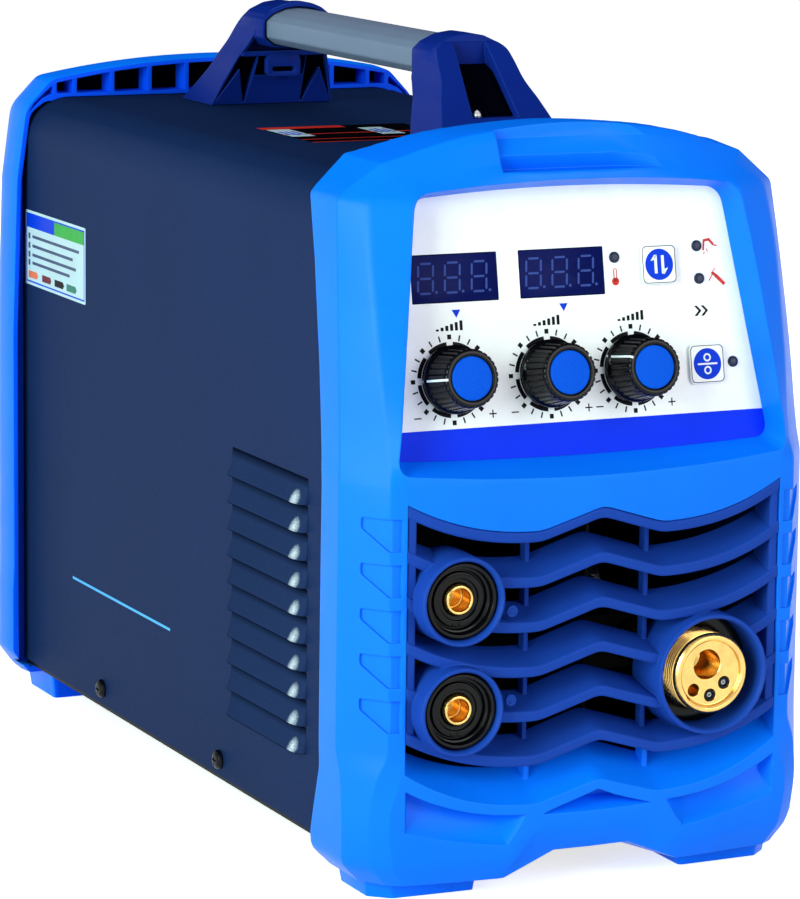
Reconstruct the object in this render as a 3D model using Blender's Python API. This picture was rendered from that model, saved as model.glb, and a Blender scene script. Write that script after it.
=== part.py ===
"""Portable wire-feed (MIG) welding machine, built as separate named pieces.

Drawn in millimetres: x = 0 on the centre plane, y = 0 at the front grille and
+y towards the rear, z = 0 three millimetres above the floor.  The finished
pieces are moved by ORIGIN so that the feet stand on z = 0 and the bounding box
is centred on x = y = 0, and are stored in metres.
"""
import math

import bmesh
import bpy
from mathutils import Matrix, Vector

MM = 0.001
GAP = 0.3                      # clearance between touching pieces

# ---------------------------------------------------------------- dimensions
FLOOR = -3.0                   # underside of the feet
COVER_HALF = 98.2              # half width of the sheet cover
COVER_TOP = 283.0
COVER_BOTTOM = 15.0
COVER_RADIUS = 20.0
SHEET = 1.2
COVER_FRONT = 28.5
COVER_REAR = 396.0
FRAME_HALF = 104.8             # half width of the moulded front frame
GRILLE_HALF = 83.4
GRILLE_TOP = 158.8
LOUVRE_PITCH = 18.2
LOUVRES = 6
BULGE = 5.5                    # forward bow of the front at the centre
PANEL_Y = 14.0                 # label plane at z = PANEL_Z
PANEL_Z = 175.0
PANEL_TILT = math.radians(10.4)
KNOBS_U = (-56.2, -13.1, 24.9)
KNOB_V = 29.8
KNOB_BASE_R = 13.7
KNOB_TOP_R = 11.0
KNOB_H = 19.0
CAP_R = 8.7
POT_R, POT_SHAFT_R = 3.9, 3.0
BUTTON, STEM = 16.0, 5.9       # button width, half width of its stem
LAMP_R = 1.5
BUTTONS = {"mode_button": (38.9, 71.1), "feed_button": (58.2, 29.8)}
LAMPS = {"lamp_heat": (19.4, 74.9), "lamp_wire": (57.4, 77.9),
         "lamp_rod": (57.7, 64.6), "lamp_feed": (70.9, 30.1)}
DISPLAYS = {"display_left": (-52.2, 70.0), "display_right": (-4.5, 70.0)}
DISPLAY_W, DISPLAY_H = 37.7, 18.8
SOCKET_X = -62.6
SOCKETS_Z = (120.5, 75.9)
SOCKET_R = 18.0                # outer radius of the shroud ring
SOCKET_BORE = 4.6              # radius of the plug bore in the brass contact
CONTACT_R = 6.4
GUN_X, GUN_Z, GUN_R = 50.0, 81.5, 24.8
GUN_PINS = {"upper": (6.8, -4.6), "lower": (0.4, -9.3)}
GUN_PIN_R = 2.1
REAR_LIP_Y = 388.0
REAR_Y = 424.0
REAR_HALF = 106.3
REAR_PANEL_Y = 409.0           # front face of the sheet rear panel
REAR_PANEL_T = 1.6
REAR_FACE = REAR_PANEL_Y + REAR_PANEL_T + GAP     # seat of what is screwed on behind
SCREWS = (("front", 154.3, 22.0), ("rear", 292.5, 22.5))     # cover screws, y and z
SCREW_R = 1.5
SCREW_HEAD_R = 4.2
BAR_Y = (133.5, 315.5)         # grip bar of the handle
HANDLE_Y = (BAR_Y[0] + BAR_Y[1]) / 2
BASE_Z = (12.6, 14.4)
DIVIDER_X, DIVIDER_Y = (20.0, 21.5), (48.0, 390.0)
SPOOL_X, SPOOL_Y, SPOOL_Z = (35.0, COVER_HALF - 10.2), 272.0, 152.0
SPOOL_R = 98.0
HUB_R = 25.4
DOOR_Y = (78.0, 372.0)
DOOR_Z = (42.0, 256.0)
DOOR_GAP = 0.6
LATCH_Y, LATCH_Z = 94.6, 149.0
LATCH_R = 4.2
ROLL_Y, ROLL_Z, ROLL_R = 112.0, 68.0, 13.0
ROLL_X = (44.0, 56.0)
SHAFT_R = 5.0
PRESSURE_R = 12.6
PRESSURE_Z = ROLL_Z + ROLL_R + PRESSURE_R + 1.6   # room for the welding wire
ARM_X, ARM_H = (34.0, 44.4), 16.0
PIVOT_Y, PIVOT_R = 90.0, 3.0
TENSION_X, TENSION_Y, TENSION_R = 39.5, 143.0, 1.7
FAN_X, FAN_Z, FAN_R = -38.0, 112.0, 42.0
SWITCH_X, SWITCH_Z, SWITCH_W, SWITCH_H = -38.0, 210.0, 34.0, 26.8
GLAND_X, GLAND_Z, GLAND_R = -38.0, 40.0, 8.6
NIPPLE_X, NIPPLE_Z, NIPPLE_R = 52.0, 60.0, 5.0
SINK_X = (-(COVER_HALF - 12.2), DIVIDER_X[0] - 13.0)
SINK_Y, SINK_Z = (150.0, 340.0), (120.0, 150.0)
ORIGIN = (0.0, -207.7, 3.0)

COLOURS = {
    "frame blue": ((0.012, 0.19, 0.86), 0.0, 0.38),
    "grille blue": ((0.018, 0.055, 0.32), 0.0, 0.42),
    "support blue": ((0.010, 0.020, 0.13), 0.0, 0.45),
    "cover navy": ((0.012, 0.018, 0.045), 0.3, 0.42),
    "label white": ((0.86, 0.88, 0.92), 0.0, 0.35),
    "display dark": ((0.006, 0.010, 0.06), 0.0, 0.12),
    "lamp dark": ((0.02, 0.02, 0.03), 0.0, 0.25),
    "black plastic": ((0.010, 0.010, 0.012), 0.0, 0.4),
    "cap blue": ((0.01, 0.12, 0.55), 0.0, 0.5),
    "brass": ((0.72, 0.46, 0.14), 1.0, 0.25),
    "steel": ((0.45, 0.46, 0.48), 1.0, 0.35),
    "bar grey": ((0.30, 0.33, 0.37), 0.6, 0.4),
    "aluminium": ((0.62, 0.64, 0.66), 1.0, 0.4),
    "copper varnish": ((0.30, 0.10, 0.04), 0.4, 0.45),
    "board green": ((0.01, 0.12, 0.05), 0.0, 0.5),
    "rocker red": ((0.50, 0.02, 0.02), 0.0, 0.35),
    "wire copper": ((0.70, 0.32, 0.18), 1.0, 0.3),
}


# ------------------------------------------------------------------- helpers
def clear_scene():
    for item in list(bpy.data.objects):
        bpy.data.objects.remove(item, do_unlink=True)
    for mesh in list(bpy.data.meshes):
        bpy.data.meshes.remove(mesh)


def material(name, label):
    colour, metallic, roughness = COLOURS[label]
    mat = bpy.data.materials.new(name)
    mat.use_nodes = True
    shader = mat.node_tree.nodes["Principled BSDF"]
    shader.inputs["Base Color"].default_value = (*colour, 1.0)
    shader.inputs["Metallic"].default_value = metallic
    shader.inputs["Roughness"].default_value = roughness
    return mat


def flat(face):
    """True when every corner lies within a micrometre of the face's plane."""
    if len(face.verts) == 3:
        return True
    n, c = face.normal, face.calc_center_median()
    return all(abs((v.co - c).dot(n)) < 1e-6 for v in face.verts)


def solid(name, verts, faces):
    """Mesh object from millimetre coordinates, faces turned outwards."""
    mesh = bpy.data.meshes.new(name)
    mesh.from_pydata([tuple(c * MM for c in v) for v in verts], [], faces)
    bm = bmesh.new()
    bm.from_mesh(mesh)
    bmesh.ops.remove_doubles(bm, verts=bm.verts, dist=1e-7)
    bent = [f for f in bm.faces if not flat(f)]
    bmesh.ops.triangulate(bm, faces=bent)
    bmesh.ops.recalc_face_normals(bm, faces=bm.faces)
    bm.to_mesh(mesh)
    bm.free()
    obj = bpy.data.objects.new(name, mesh)
    bpy.context.scene.collection.objects.link(obj)
    return obj


def loft(name, rings):
    """Closed body through rings of equal point count, flat end caps."""
    n = len(rings[0])
    verts = [p for ring in rings for p in ring]
    faces = [list(range(n)), list(range(len(verts) - n, len(verts)))]
    for k in range(len(rings) - 1):
        for i in range(n):
            j = (i + 1) % n
            faces.append([k * n + i, k * n + j, (k + 1) * n + j, (k + 1) * n + i])
    return solid(name, verts, faces)


def prism(name, outline, axis, lo, hi):
    """Extrude a 2-D outline along one axis; the outline keeps x, y, z order."""
    def put(p, t):
        return {"X": (t, *p), "Y": (p[0], t, p[1]), "Z": (*p, t)}[axis]
    return loft(name, [[put(p, lo) for p in outline], [put(p, hi) for p in outline]])


def box(name, x, y, z):
    return prism(name, [(x[0], y[0]), (x[1], y[0]), (x[1], y[1]), (x[0], y[1])], "Z", *z)


def lathe(name, profile, centre=(0, 0, 0), axis="Y", segments=20):
    """Revolve a closed (radius, offset) profile about an axis."""
    verts, index = [], []
    for r, t in profile:
        row = []
        for s in range(segments):
            if r < 1e-6 and s:
                row.append(row[0])
                continue
            a = 2 * math.pi * s / segments
            c, d = r * math.cos(a), r * math.sin(a)
            p = {"X": (t, c, d), "Y": (d, t, c), "Z": (c, d, t)}[axis]
            row.append(len(verts))
            verts.append(tuple(p[i] + centre[i] for i in range(3)))
        index.append(row)
    faces = []
    for k in range(len(profile)):
        a, b = index[k], index[(k + 1) % len(profile)]
        for s in range(segments):
            quad = [a[s], a[(s + 1) % segments], b[(s + 1) % segments], b[s]]
            quad = list(dict.fromkeys(quad))
            if len(quad) > 2:
                faces.append(quad)
    return solid(name, verts, faces)


def rounded(cx, cz, hx, hz, r, steps=4):
    """Rounded rectangle outline."""
    points = []
    for k, (sx, sz) in enumerate(((1, 1), (-1, 1), (-1, -1), (1, -1))):
        for i in range(steps + 1):
            a = math.pi / 2 * (k + i / steps)
            points.append((cx + sx * (hx - r) + r * math.cos(a),
                           cz + sz * (hz - r) + r * math.sin(a)))
    return points


def combine(target, others, mode="DIFFERENCE"):
    """Apply exact Booleans and remove the tools."""
    for tool in others:
        tool.hide_render = True
        tool.display_type = "WIRE"
        mod = target.modifiers.new("cut", "BOOLEAN")
        mod.operation = mode
        mod.solver = "EXACT"
        mod.object = tool
        bpy.context.view_layer.update()
        graph = bpy.context.evaluated_depsgraph_get()
        mesh = bpy.data.meshes.new_from_object(target.evaluated_get(graph))
        target.modifiers.clear()
        old = target.data
        target.data = mesh
        bpy.data.meshes.remove(old)
        bpy.data.objects.remove(tool, do_unlink=True)
    bm = bmesh.new()
    bm.from_mesh(target.data)
    bmesh.ops.remove_doubles(bm, verts=bm.verts, dist=5e-7)
    bm.to_mesh(target.data)
    bm.free()
    return target


def finish(obj, label, smooth=False):
    """Give a piece its own material, shading and a tidy mesh name."""
    obj.data.materials.clear()
    obj.data.materials.append(material(obj.name, label))
    obj.data.name = obj.name
    for poly in obj.data.polygons:
        poly.use_smooth = smooth
        poly.material_index = 0
    if smooth:
        obj.data.set_sharp_from_angle(angle=math.radians(35))
    return obj


def place(obj, matrix):
    obj.data.transform(matrix)
    obj.data.update()
    return obj


PANEL = (Matrix.Translation((0, PANEL_Y * MM, PANEL_Z * MM))
         @ Matrix.Rotation(-PANEL_TILT, 4, "X"))


def on_panel(obj):
    """From panel coordinates (u across, -y outwards, v up) to the machine."""
    return place(obj, PANEL)


def bow(x):
    """Forward bow of the front at a distance x from the centre."""
    return -BULGE * max(0.0, 1 - (x / GRILLE_HALF) ** 2)


def zigzag(x, ends=13.3, peak=8.4):
    """Height of the louvre line relative to its outer ends."""
    a = abs(x)
    if a <= 27:
        return -ends + peak * (1 - a / 27)
    return -ends * (1 - min(1, (a - 27) / (GRILLE_HALF - 27)) ** 2.3)


ZIG_X = (-83.4, -70, -56, -41, -27, -3, 3, 27, 41, 56, 70, 83.4)


def arch(x, top, drop, half):
    return top - drop * (x / half) ** 2


def mirrored(points):
    """Half outline (x >= 0, first point on or beside the centre) made whole."""
    return points + [(-x, *rest) for x, *rest in reversed(points)]


# ------------------------------------------------------------- front of case
def front_frame():
    # (z, rear x, ridge x, ridge y, soft x, soft y, strip x, strip y, inner x, inner y)
    side = [
        (4.0, 95.0, 95.0, 19.0, 88.0, 8.0, 82.0, 4.0, 40.0, -0.5),
        (14.0, 104.0, 103.0, 17.5, 95.0, 6.5, 88.0, 1.5, 45.0, -3.6),
        (31.0, 104.8, 103.5, 16.5, 97.0, 5.0, 90.0, 0.6, 45.0, -3.8),
        (47.7, 104.8, 103.8, 17.5, 95.1, 3.3, 86.0, 0.0, 45.0, -3.8),
        (60.0, 104.8, 104.8, 19.8, 90.7, 1.2, 83.4, 0.0, 45.0, -3.8),
        (165.0, 104.8, 104.4, 20.2, 90.7, 1.6, 84.0, 0.2, 45.0, -3.8),
        (175.0, 104.4, 103.5, 21.9, 89.6, 4.4, 86.2, 1.4, 45.0, -1.8),
        (210.0, 103.2, 101.9, 26.9, 91.0, 12.2, 82.6, 7.4, 45.0, 4.4),
        (250.0, 101.0, 99.7, 34.1, 91.2, 21.6, 77.2, 15.0, 45.0, 12.6),
        (276.0, 99.4, 98.0, 39.5, 89.0, 29.0, 74.0, 21.5, 45.0, 18.0),
    ]
    rows = []
    for z, rx, ex, ey, sx, sy, tx, ty, ix, iy in side:
        rows.append([(rx, 80.0, z), (ex, ey, z), (sx, sy, z), (tx, ty, z),
                     (ix, iy, z), (0.0, iy - 1.7, z)])
    rows.append([(86.0, 80.0, 291.4), (80.6, 35.7, 289.3), (76.0, 31.5, 285.5),
                 (68.0, 25.0, 281.0), (45.0, 20.5, 280.0), (0.0, 19.0, 280.5)])
    rows.append([(43.0, 80.0, 298.6), (42.0, 31.5, 300.0), (40.0, 29.0, 297.0),
                 (37.0, 24.5, 288.0), (34.0, 22.0, 285.0), (0.0, 19.6, 284.0)])
    rows.append([(0.0, 80.0, 301.0), (0.0, 30.0, 303.6), (0.0, 28.0, 300.5),
                 (0.0, 24.0, 290.0), (0.0, 22.0, 287.0), (0.0, 19.9, 285.0)])
    verts, faces, cols = [], [], 6
    for side_sign in (1, -1):
        base = len(verts)
        for row in rows:
            verts += [(side_sign * x, y, z) for x, y, z in row]
        for r in range(len(rows) - 1):
            for c in range(cols - 1):
                a = base + r * cols + c
                faces.append([a, a + 1, a + cols + 1, a + cols])
        faces.append([base + c for c in range(cols)])
    back = [r * cols for r in range(len(rows))]
    faces_back = back + [len(rows) * cols + b for b in reversed(back)]
    faces.append(faces_back)
    # underside: one face across both halves
    faces = [f for f in faces if f not in (list(range(cols)),
             [len(rows) * cols + c for c in range(cols)])]
    faces.append(list(range(cols)) + [len(rows) * cols + c for c in reversed(range(cols))])
    body = solid("front_frame", verts, faces)

    # rear edge: deeper towards the top and at the foot
    behind = [(46.3, 0.0), (46.3, 18.0), (37.5, 47.0), (36.4, 60.0), (36.4, 165.0),
              (38.5, 175.0), (44.5, 210.0), (54.5, 250.0), (63.0, 276.0), (64.0, 310.0),
              (90.0, 310.0), (90.0, 0.0)]
    combine(body, [prism("behind", behind, "X", -120, 120)])

    # control window, tapering inwards to the label
    combine(body, [window_cutter()])

    # grille opening
    combine(body, [grille_cutter()])

    # hollow behind the front wall, following the cover
    w = COVER_HALF + GAP
    inner = [(-w, 9), (w, 9), (w, 262)]
    inner += [(x, z) for x, z in rounded(0, COVER_TOP + GAP - 150, w, 150, COVER_RADIUS + GAP, 5)[:12]]
    inner += [(-w, 262)]
    hollow = prism("hollow", inner, "Y", 20.0, 100.0)
    back = [(29.5, 0), (29.5, 165), (45.5, 283), (45.5, 320), (100, 320), (100, 0)]
    combine(hollow, [prism("back", back, "X", -130, 130)], "INTERSECT")
    front = prism("hollow_front", mirrored([(92, 10), (92, 165), (88, 200), (83, 250), (77, 274),
                                            (70, 280)]), "Y", 5.0, 61.0)
    slant = [(13, 5), (13, 164), (18.4, 173), (39.2, 285), (62, 290), (62, 5)]
    combine(front, [prism("slant", slant, "X", -130, 130)], "INTERSECT")
    combine(body, [combine(hollow, [front], "UNION")])

    # pockets under the bumper blade and the space between the legs
    cutters = []
    for s in (1, -1):
        mouth = [(34.7, blade_low(34.7)), (45, blade_low(45)), (60, blade_low(60)),
                 (72, blade_low(72)), (84, blade_low(84)), (84, 25.0), (41, 21.5)]
        depth = [(43, 31.8), (47, 33.0), (60, 35.5), (71, 39.0), (80, 43.0), (80, 35.6), (45, 31.7)]
        cutters.append(loft("pocket", [
            [(s * (x + (x - dx) * 0.8), -9.0, z + (z - dz) * 0.8 * (z < 30))
             for (x, z), (dx, dz) in zip(mouth, depth)],
            [(s * x, -1.0, z) for x, z in mouth],
            [(s * x, 6.0, z) for x, z in depth]]))
    for k in range(1, LOUVRES):
        high = GRILLE_TOP - (k - 1) * LOUVRE_PITCH - 5.3
        low = high - 12.9
        for s in (1, -1):
            rings = []
            for off in (1.6, -1.4):
                ring = []
                for t, z in ((-1.0, high), (13.2, high), (13.2, high - 4.5), (0.6, low), (-1.0, low)):
                    ring.append((s * (90.7 + 0.605 * t + 0.798 * off),
                                 1.2 + 0.798 * t - 0.605 * off, z))
                rings.append(ring)
            cutters.append(loft("notch", rings))
            cutters.append(prism("strip_gap", [(s * 85.6, low), (s * 85.6, high), (s * 91.2, high),
                                               (s * 91.2, low)], "Y", -3.0, 1.9))
    under = []
    for y, foot, rim, mid in ((-12.0, (41, 3.7), (28.9, 34.0), 33.0), (-5.5, (41, 3.7), (28.9, 24.0), 22.3),
                              (0.0, (42.3, 2.7), (17, 13.2), 13.0), (8.0, (46.7, 0.0), (17, 11.0), 11.0),
                              (90.0, (46.7, 0.0), (17, 11.0), 11.0)):
        under.append([(p[0], y, p[1]) for p in
                      [(0, -9), (foot[0], -9), foot, rim, (0, mid), (-rim[0], rim[1]),
                       (-foot[0], foot[1]), (-foot[0], -9)]])
    cutters.append(loft("under", under))
    cutters.append(loft("middle", [
        [(-26, -9, 27.5), (26, -9, 27.5), (0, -9, 38.2)],
        [(-24.9, -4.0, 30.2), (24.9, -4.0, 30.2), (0, -4.0, 38.2)],
        [(-12, 4, 33.5), (12, 4, 33.5), (0, 4, 37.0)]]))
    # grip recess on the top front edge
    cutters.append(loft("grip", [[(x, y, z) for y, z in line] for x, line in
                                 ((-33.5, ((12, 310), (12, 285.3), (30.5, 285.3), (27.5, 291.5),
                                           (33.0, 297.8), (33.0, 310))),
                                  (18.5, ((12, 310), (12, 285.3), (30.5, 285.3), (27.5, 291.5),
                                          (33.0, 297.8), (33.0, 310))),
                                  (38.0, ((12, 310), (12, 285.3), (22.5, 285.3), (24.0, 289.5),
                                          (27.0, 297.8), (27.0, 310))))]))
    cutters += arch_pockets(46.0, 90.0, 301.2, 9.5, 85.0)
    combine(body, cutters)

    # feet
    for s in (1, -1):
        combine(body, [loft("foot", [
            [(s * 47, 11, FLOOR), (s * 83, 12, FLOOR), (s * 91, 19, FLOOR), (s * 91, 45, FLOOR),
             (s * 47, 45, FLOOR)],
            [(s * 46, 9, 8.5), (s * 84, 10, 8.5), (s * 93, 18, 8.5), (s * 93, 46, 8.5),
             (s * 46, 46, 8.5)]])], "UNION")
        combine(body, [box("pin", sorted((s * 25.9, s * 28.1)), (6.0, 12.0), (32.0, 49.5))], "UNION")
    return finish(body, "frame blue")


def blade_low(x):
    """Lower edge of the bumper blade."""
    return 30.3 + 15.7 * (max(0.0, x - 27) / 60.6) ** 2.3


def window_outline(grow, y_of):
    """Outline of the control window, enlarged by grow, as 3-D points."""
    low, high = (85.0, 173.8), (69.5, 275.5)
    pts = []
    corners = [(-low[0], low[1], 7), (low[0], low[1], 7), (high[0], high[1], 8),
               (-high[0], high[1], 8)]
    raw = []
    for i, (x, z, r) in enumerate(corners):
        px, pz, _ = corners[i - 1]
        nx, nz, _ = corners[(i + 1) % 4]
        here = Vector((x, z))
        a = (Vector((px, pz)) - here).normalized() * r
        b = (Vector((nx, nz)) - here).normalized() * r
        for k in range(5):
            t = k / 4
            raw.append(here + a * (1 - t) ** 2 + b * t ** 2)
        if i in (0, 2):
            end = Vector((nx, nz)) - b.normalized() * corners[(i + 1) % 4][2]
            start = here + b
            for k in (1, 2, 3):
                p = start.lerp(end, k / 4)
                p.y += (-1.9 if i == 0 else 2.4) * 4 * (k / 4) * (1 - k / 4)
                raw.append(p)
    mid = Vector((0, 224))
    for p in raw:
        d = (p - mid)
        x = p.x + grow * (1 if p.x > 0 else -1) * min(1, abs(d.x) / 40)
        z = p.y + grow * (1 if d.y > 0 else -1) * min(1, abs(d.y) / 30) * 1.35
        pts.append((x, y_of(z), z))
    return pts


def label_y(z):
    return PANEL_Y + (z - PANEL_Z) * math.tan(PANEL_TILT)


def window_cutter():
    """Tapered opening in front of the label and the seat for the panel."""
    rings = [window_outline(7.3, lambda z: label_y(z) - 33.0),
             window_outline(0.0, label_y)]
    taper = loft("window", rings)
    seat = loft("seat", [window_outline(2.0 + GAP, lambda z: label_y(z) - 0.02),
                         window_outline(2.0 + GAP, lambda z: label_y(z) + 12.0)])
    return combine(taper, [seat], "UNION")


def grille_outline(extra=0.0):
    """Zigzag opening: upper edge over louvre 1, lower edge along the bumper blade."""
    top = [(x, GRILLE_TOP + extra + zigzag(x)) for x in ZIG_X]
    low = [(x, 50.6 + zigzag(x, 16.3, 8.2)) for x in ZIG_X]
    g = GRILLE_HALF + extra
    top[0], top[-1] = (-g, top[0][1]), (g, top[-1][1])
    low[0], low[-1] = (-g, low[0][1]), (g, low[-1][1])
    return low, top


def grille_cutter():
    low, top = grille_outline(GAP)
    return prism("grille_hole", low + top[::-1], "Y", -30, 60)


def arch_pockets(y0, y1, top, drop, half):
    """Row of pockets between the inner rim and the outer arch."""
    tools = []
    for k in range(-5, 5):
        x0, x1 = k * 18.8 + 1.2, (k + 1) * 18.8 - 1.2
        zl = COVER_TOP + GAP + 2.4
        za, zb = arch(x0, top, drop, half) - 3.2, arch(x1, top, drop, half) - 3.2
        if max(abs(x0), abs(x1)) > 84:
            x0, x1 = max(x0, -84.5), min(x1, 84.5)
        if min(za, zb) - zl < 1.2:
            continue
        tools.append(prism("rib_gap", [(x0, zl), (x1, zl), (x1, zb), (x0, za)], "Y", y0, y1))
    return tools


def grille_insert():
    body = None
    for k in range(LOUVRES):
        z0 = GRILLE_TOP - k * LOUVRE_PITCH
        verts, faces = [], []
        for x in ZIG_X:
            z, y = z0 + zigzag(x), bow(x)
            thick = 5.2 - 0.7 * (1 - abs(abs(x) - 27) / 57 if abs(x) > 27 else 1)
            rise = 0.0 if k == 0 else 5.0
            verts += [(x, y, z), (x, y, z - thick), (x, 13.6, z - thick + 4.0), (x, 13.6, z + rise)]
        for i in range(len(ZIG_X) - 1):
            a, b = 4 * i, 4 * i + 4
            faces += [[a + j, a + (j + 1) % 4, b + (j + 1) % 4, b + j] for j in range(4)]
        n = 4 * (len(ZIG_X) - 1)
        faces += [[0, 1, 2, 3], [n, n + 1, n + 2, n + 3]]
        blade = solid("grille_insert", verts, faces)
        if body is None:
            body = blade
        else:
            combine(body, [blade], "UNION")
    posts = []
    for s in (1, -1):
        posts.append(box("post", sorted((s * 79.6, s * 83.2)), (0.6, 13.1),
                         (64.4, 157.1)))
        posts.append(box("pin", sorted((s * 25.9, s * 28.1)), (8.3, 13.2), (53.3, 145.2)))
    combine(body, posts, "UNION")
    rings = [(SOCKET_X, z, SOCKET_R) for z in SOCKETS_Z] + [(GUN_X, GUN_Z, GUN_R)]
    for x, z, r in rings:
        combine(body, [lathe("ring", [(0, -8.5), (r, -8.5), (r, 14), (0, 14)], (x, 0, z))], "UNION")
    for x, z, r in rings:
        hole = lathe("bore", [(0, -20), (r - 2.0, -20), (r - 2.0, 11.6), (r * 0.62, 11.6),
                              (r * 0.62, 20), (0, 20)], (x, 0, z))
        combine(body, [hole])
    return finish(body, "grille blue")


def sockets():
    for tag, z in zip(("negative", "positive"), SOCKETS_Z):
        rim = SOCKET_R - 2.0 - GAP
        finish(lathe(f"socket_insulator_{tag}",
                     [(10.3, 20.0), (10.3, 11.0), (rim, 11.0), (rim, -5.6), (rim - 1.6, -6.2),
                      (13.2, -6.2), (12.8, -3.0), (10.2, -2.4), (CONTACT_R + GAP, -2.4),
                      (CONTACT_R + GAP, 20.0)],
                     (SOCKET_X, 0, z)), "black plastic", True)
        finish(lathe(f"socket_contact_{tag}",
                     [(0, 26.0), (CONTACT_R, 26.0), (CONTACT_R, -3.4), (5.6, -4.2),
                      (SOCKET_BORE, -4.2), (SOCKET_BORE, 9.0), (0, 9.0)],
                     (SOCKET_X, 0, z)), "brass", True)
    body = lathe("gun_socket_body",
                 [(0, 58.0), (9.0, 58.0), (9.0, 22.0), (14.9, 22.0), (14.9, 8.5), (16.6, 8.5),
                  (16.6, -6.0), (15.2, -7.2), (14.0, -7.2), (14.0, -5.2), (0, -5.2)],
                 (GUN_X, 0, GUN_Z), segments=24)
    holes = [lathe("wire_bore", [(0, -9), (6.1, -9), (6.1, 12), (2.0, 14), (2.0, 60), (0, 60)],
                   (GUN_X - 1.2, 0, GUN_Z + 3.6), segments=16),
             lathe("gas_bore", [(0, -9), (2.6, -9), (2.6, 12), (0, 12)],
                   (GUN_X - 7.2, 0, GUN_Z - 6.6), segments=12)]
    for dx, dz in GUN_PINS.values():
        holes.append(lathe("pin_bore", [(0, -9), (GUN_PIN_R + GAP, -9), (GUN_PIN_R + GAP, 12),
                                        (0, 12)], (GUN_X + dx, 0, GUN_Z + dz), segments=12))
    combine(body, holes)
    finish(body, "brass", True)
    finish(lathe("gun_socket_insulator",
                 [(15.2, 11.3), (15.2, 8.8), (17.0, 8.8), (17.0, 6.0), (22.4, 6.0),
                  (22.4, 11.3)], (GUN_X, 0, GUN_Z)), "black plastic", True)
    for tag, (dx, dz) in GUN_PINS.items():
        finish(lathe(f"gun_socket_pin_{tag}",
                     [(0, 11.5), (GUN_PIN_R, 11.5), (GUN_PIN_R, -5.8), (1.4, -6.2), (1.4, -2.0),
                      (0, -2.0)], (GUN_X + dx, 0, GUN_Z + dz), segments=12), "steel", True)


# ------------------------------------------------------------- control panel
def control_panel():
    inverse = PANEL.inverted()
    outline = []
    for x, y, z in window_outline(1.7, label_y):
        p = inverse @ (Vector((x, y, z)) * MM) / MM
        outline.append((p.x, p.z))
    plate = prism("control_panel", outline, "Y", 0.3, 2.8)
    tools = []
    for u in KNOBS_U:
        tools.append(lathe("bore", [(0, -5), (POT_R + GAP, -5), (POT_R + GAP, 9), (0, 9)],
                           (u, 0, KNOB_V), segments=16))
    for u, v in DISPLAYS.values():
        tools.append(prism("slot", rounded(u, v, DISPLAY_W / 2 + GAP, DISPLAY_H / 2 + GAP, 0.5, 1),
                           "Y", -5, 9))
    for u, v in BUTTONS.values():
        tools.append(prism("slot", rounded(u, v, STEM + GAP, STEM + GAP, 0.8, 1), "Y", -5, 9))
    for u, v in LAMPS.values():
        tools.append(lathe("bore", [(0, -5), (LAMP_R + GAP, -5), (LAMP_R + GAP, 9), (0, 9)],
                           (u, 0, v), segments=12))
    combine(plate, tools)
    finish(on_panel(plate), "label white")
    for name, (u, v) in DISPLAYS.items():
        body = prism(name, rounded(u, v, DISPLAY_W / 2, DISPLAY_H / 2, 0.5, 1), "Y", 0.0, 8.0)
        finish(on_panel(body), "display dark")
    for name, (u, v) in BUTTONS.items():
        cap = prism(name, rounded(u, v, BUTTON / 2, BUTTON / 2, 1.6, 3), "Y", -1.9, -0.9)
        stem = prism("stem", rounded(u, v, STEM, STEM, 0.8, 1), "Y", -1.2, 6.0)
        finish(on_panel(combine(cap, [stem], "UNION")), "label white")
    for name, (u, v) in LAMPS.items():
        lamp = lathe(name, [(0, 5.5), (LAMP_R, 5.5), (LAMP_R, -0.05), (2.1, -0.05), (2.1, -0.35),
                            (1.2, -0.9), (0, -1.1)], (u, 0, v), segments=12)
        finish(on_panel(lamp), "lamp dark", True)
    for i, u in enumerate(KNOBS_U, 1):
        pot = lathe(f"potentiometer_{i}",
                    [(0, 12.0), (8.2, 12.0), (8.2, 3.1), (POT_R, 3.1), (POT_R, -0.6),
                     (POT_SHAFT_R, -0.6), (POT_SHAFT_R, -13.0), (0, -13.0)],
                    (u, 0, KNOB_V), segments=16)
        finish(on_panel(pot), "steel", True)
        r0, r1 = KNOB_BASE_R, KNOB_TOP_R
        knob = lathe(f"knob_{i}",
                     [(POT_SHAFT_R + GAP, -1.0), (r0 - 0.4, -1.0), (r0, -1.6), (r0, -4.0),
                      (r0 - 1.4, -5.4), (r1 + 0.7, 1.4 - KNOB_H), (r1, -KNOB_H),
                      (CAP_R + 0.7, -KNOB_H), (CAP_R + 0.4, 1.4 - KNOB_H), (0, 1.4 - KNOB_H),
                      (0, -14.0), (POT_SHAFT_R + GAP, -14.0)], (u, 0, KNOB_V), segments=24)
        finish(on_panel(knob), "black plastic", True)
        t = 1.1 - KNOB_H
        cap = lathe(f"knob_cap_{i}", [(0, t), (CAP_R, t), (CAP_R, t - 0.8), (CAP_R - 0.6, t - 1.3),
                                      (0, t - 1.4)], (u, 0, KNOB_V), segments=24)
        finish(on_panel(cap), "cap blue", True)


# ---------------------------------------------------------- sheet-metal body
def u_outline(half, top, radius, bottom, steps=6):
    pts = [(half, bottom)]
    for i in range(steps + 1):
        a = math.pi / 2 * i / steps
        pts.append((half - radius + radius * math.cos(a), top - radius + radius * math.sin(a)))
    return mirrored(pts)


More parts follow.
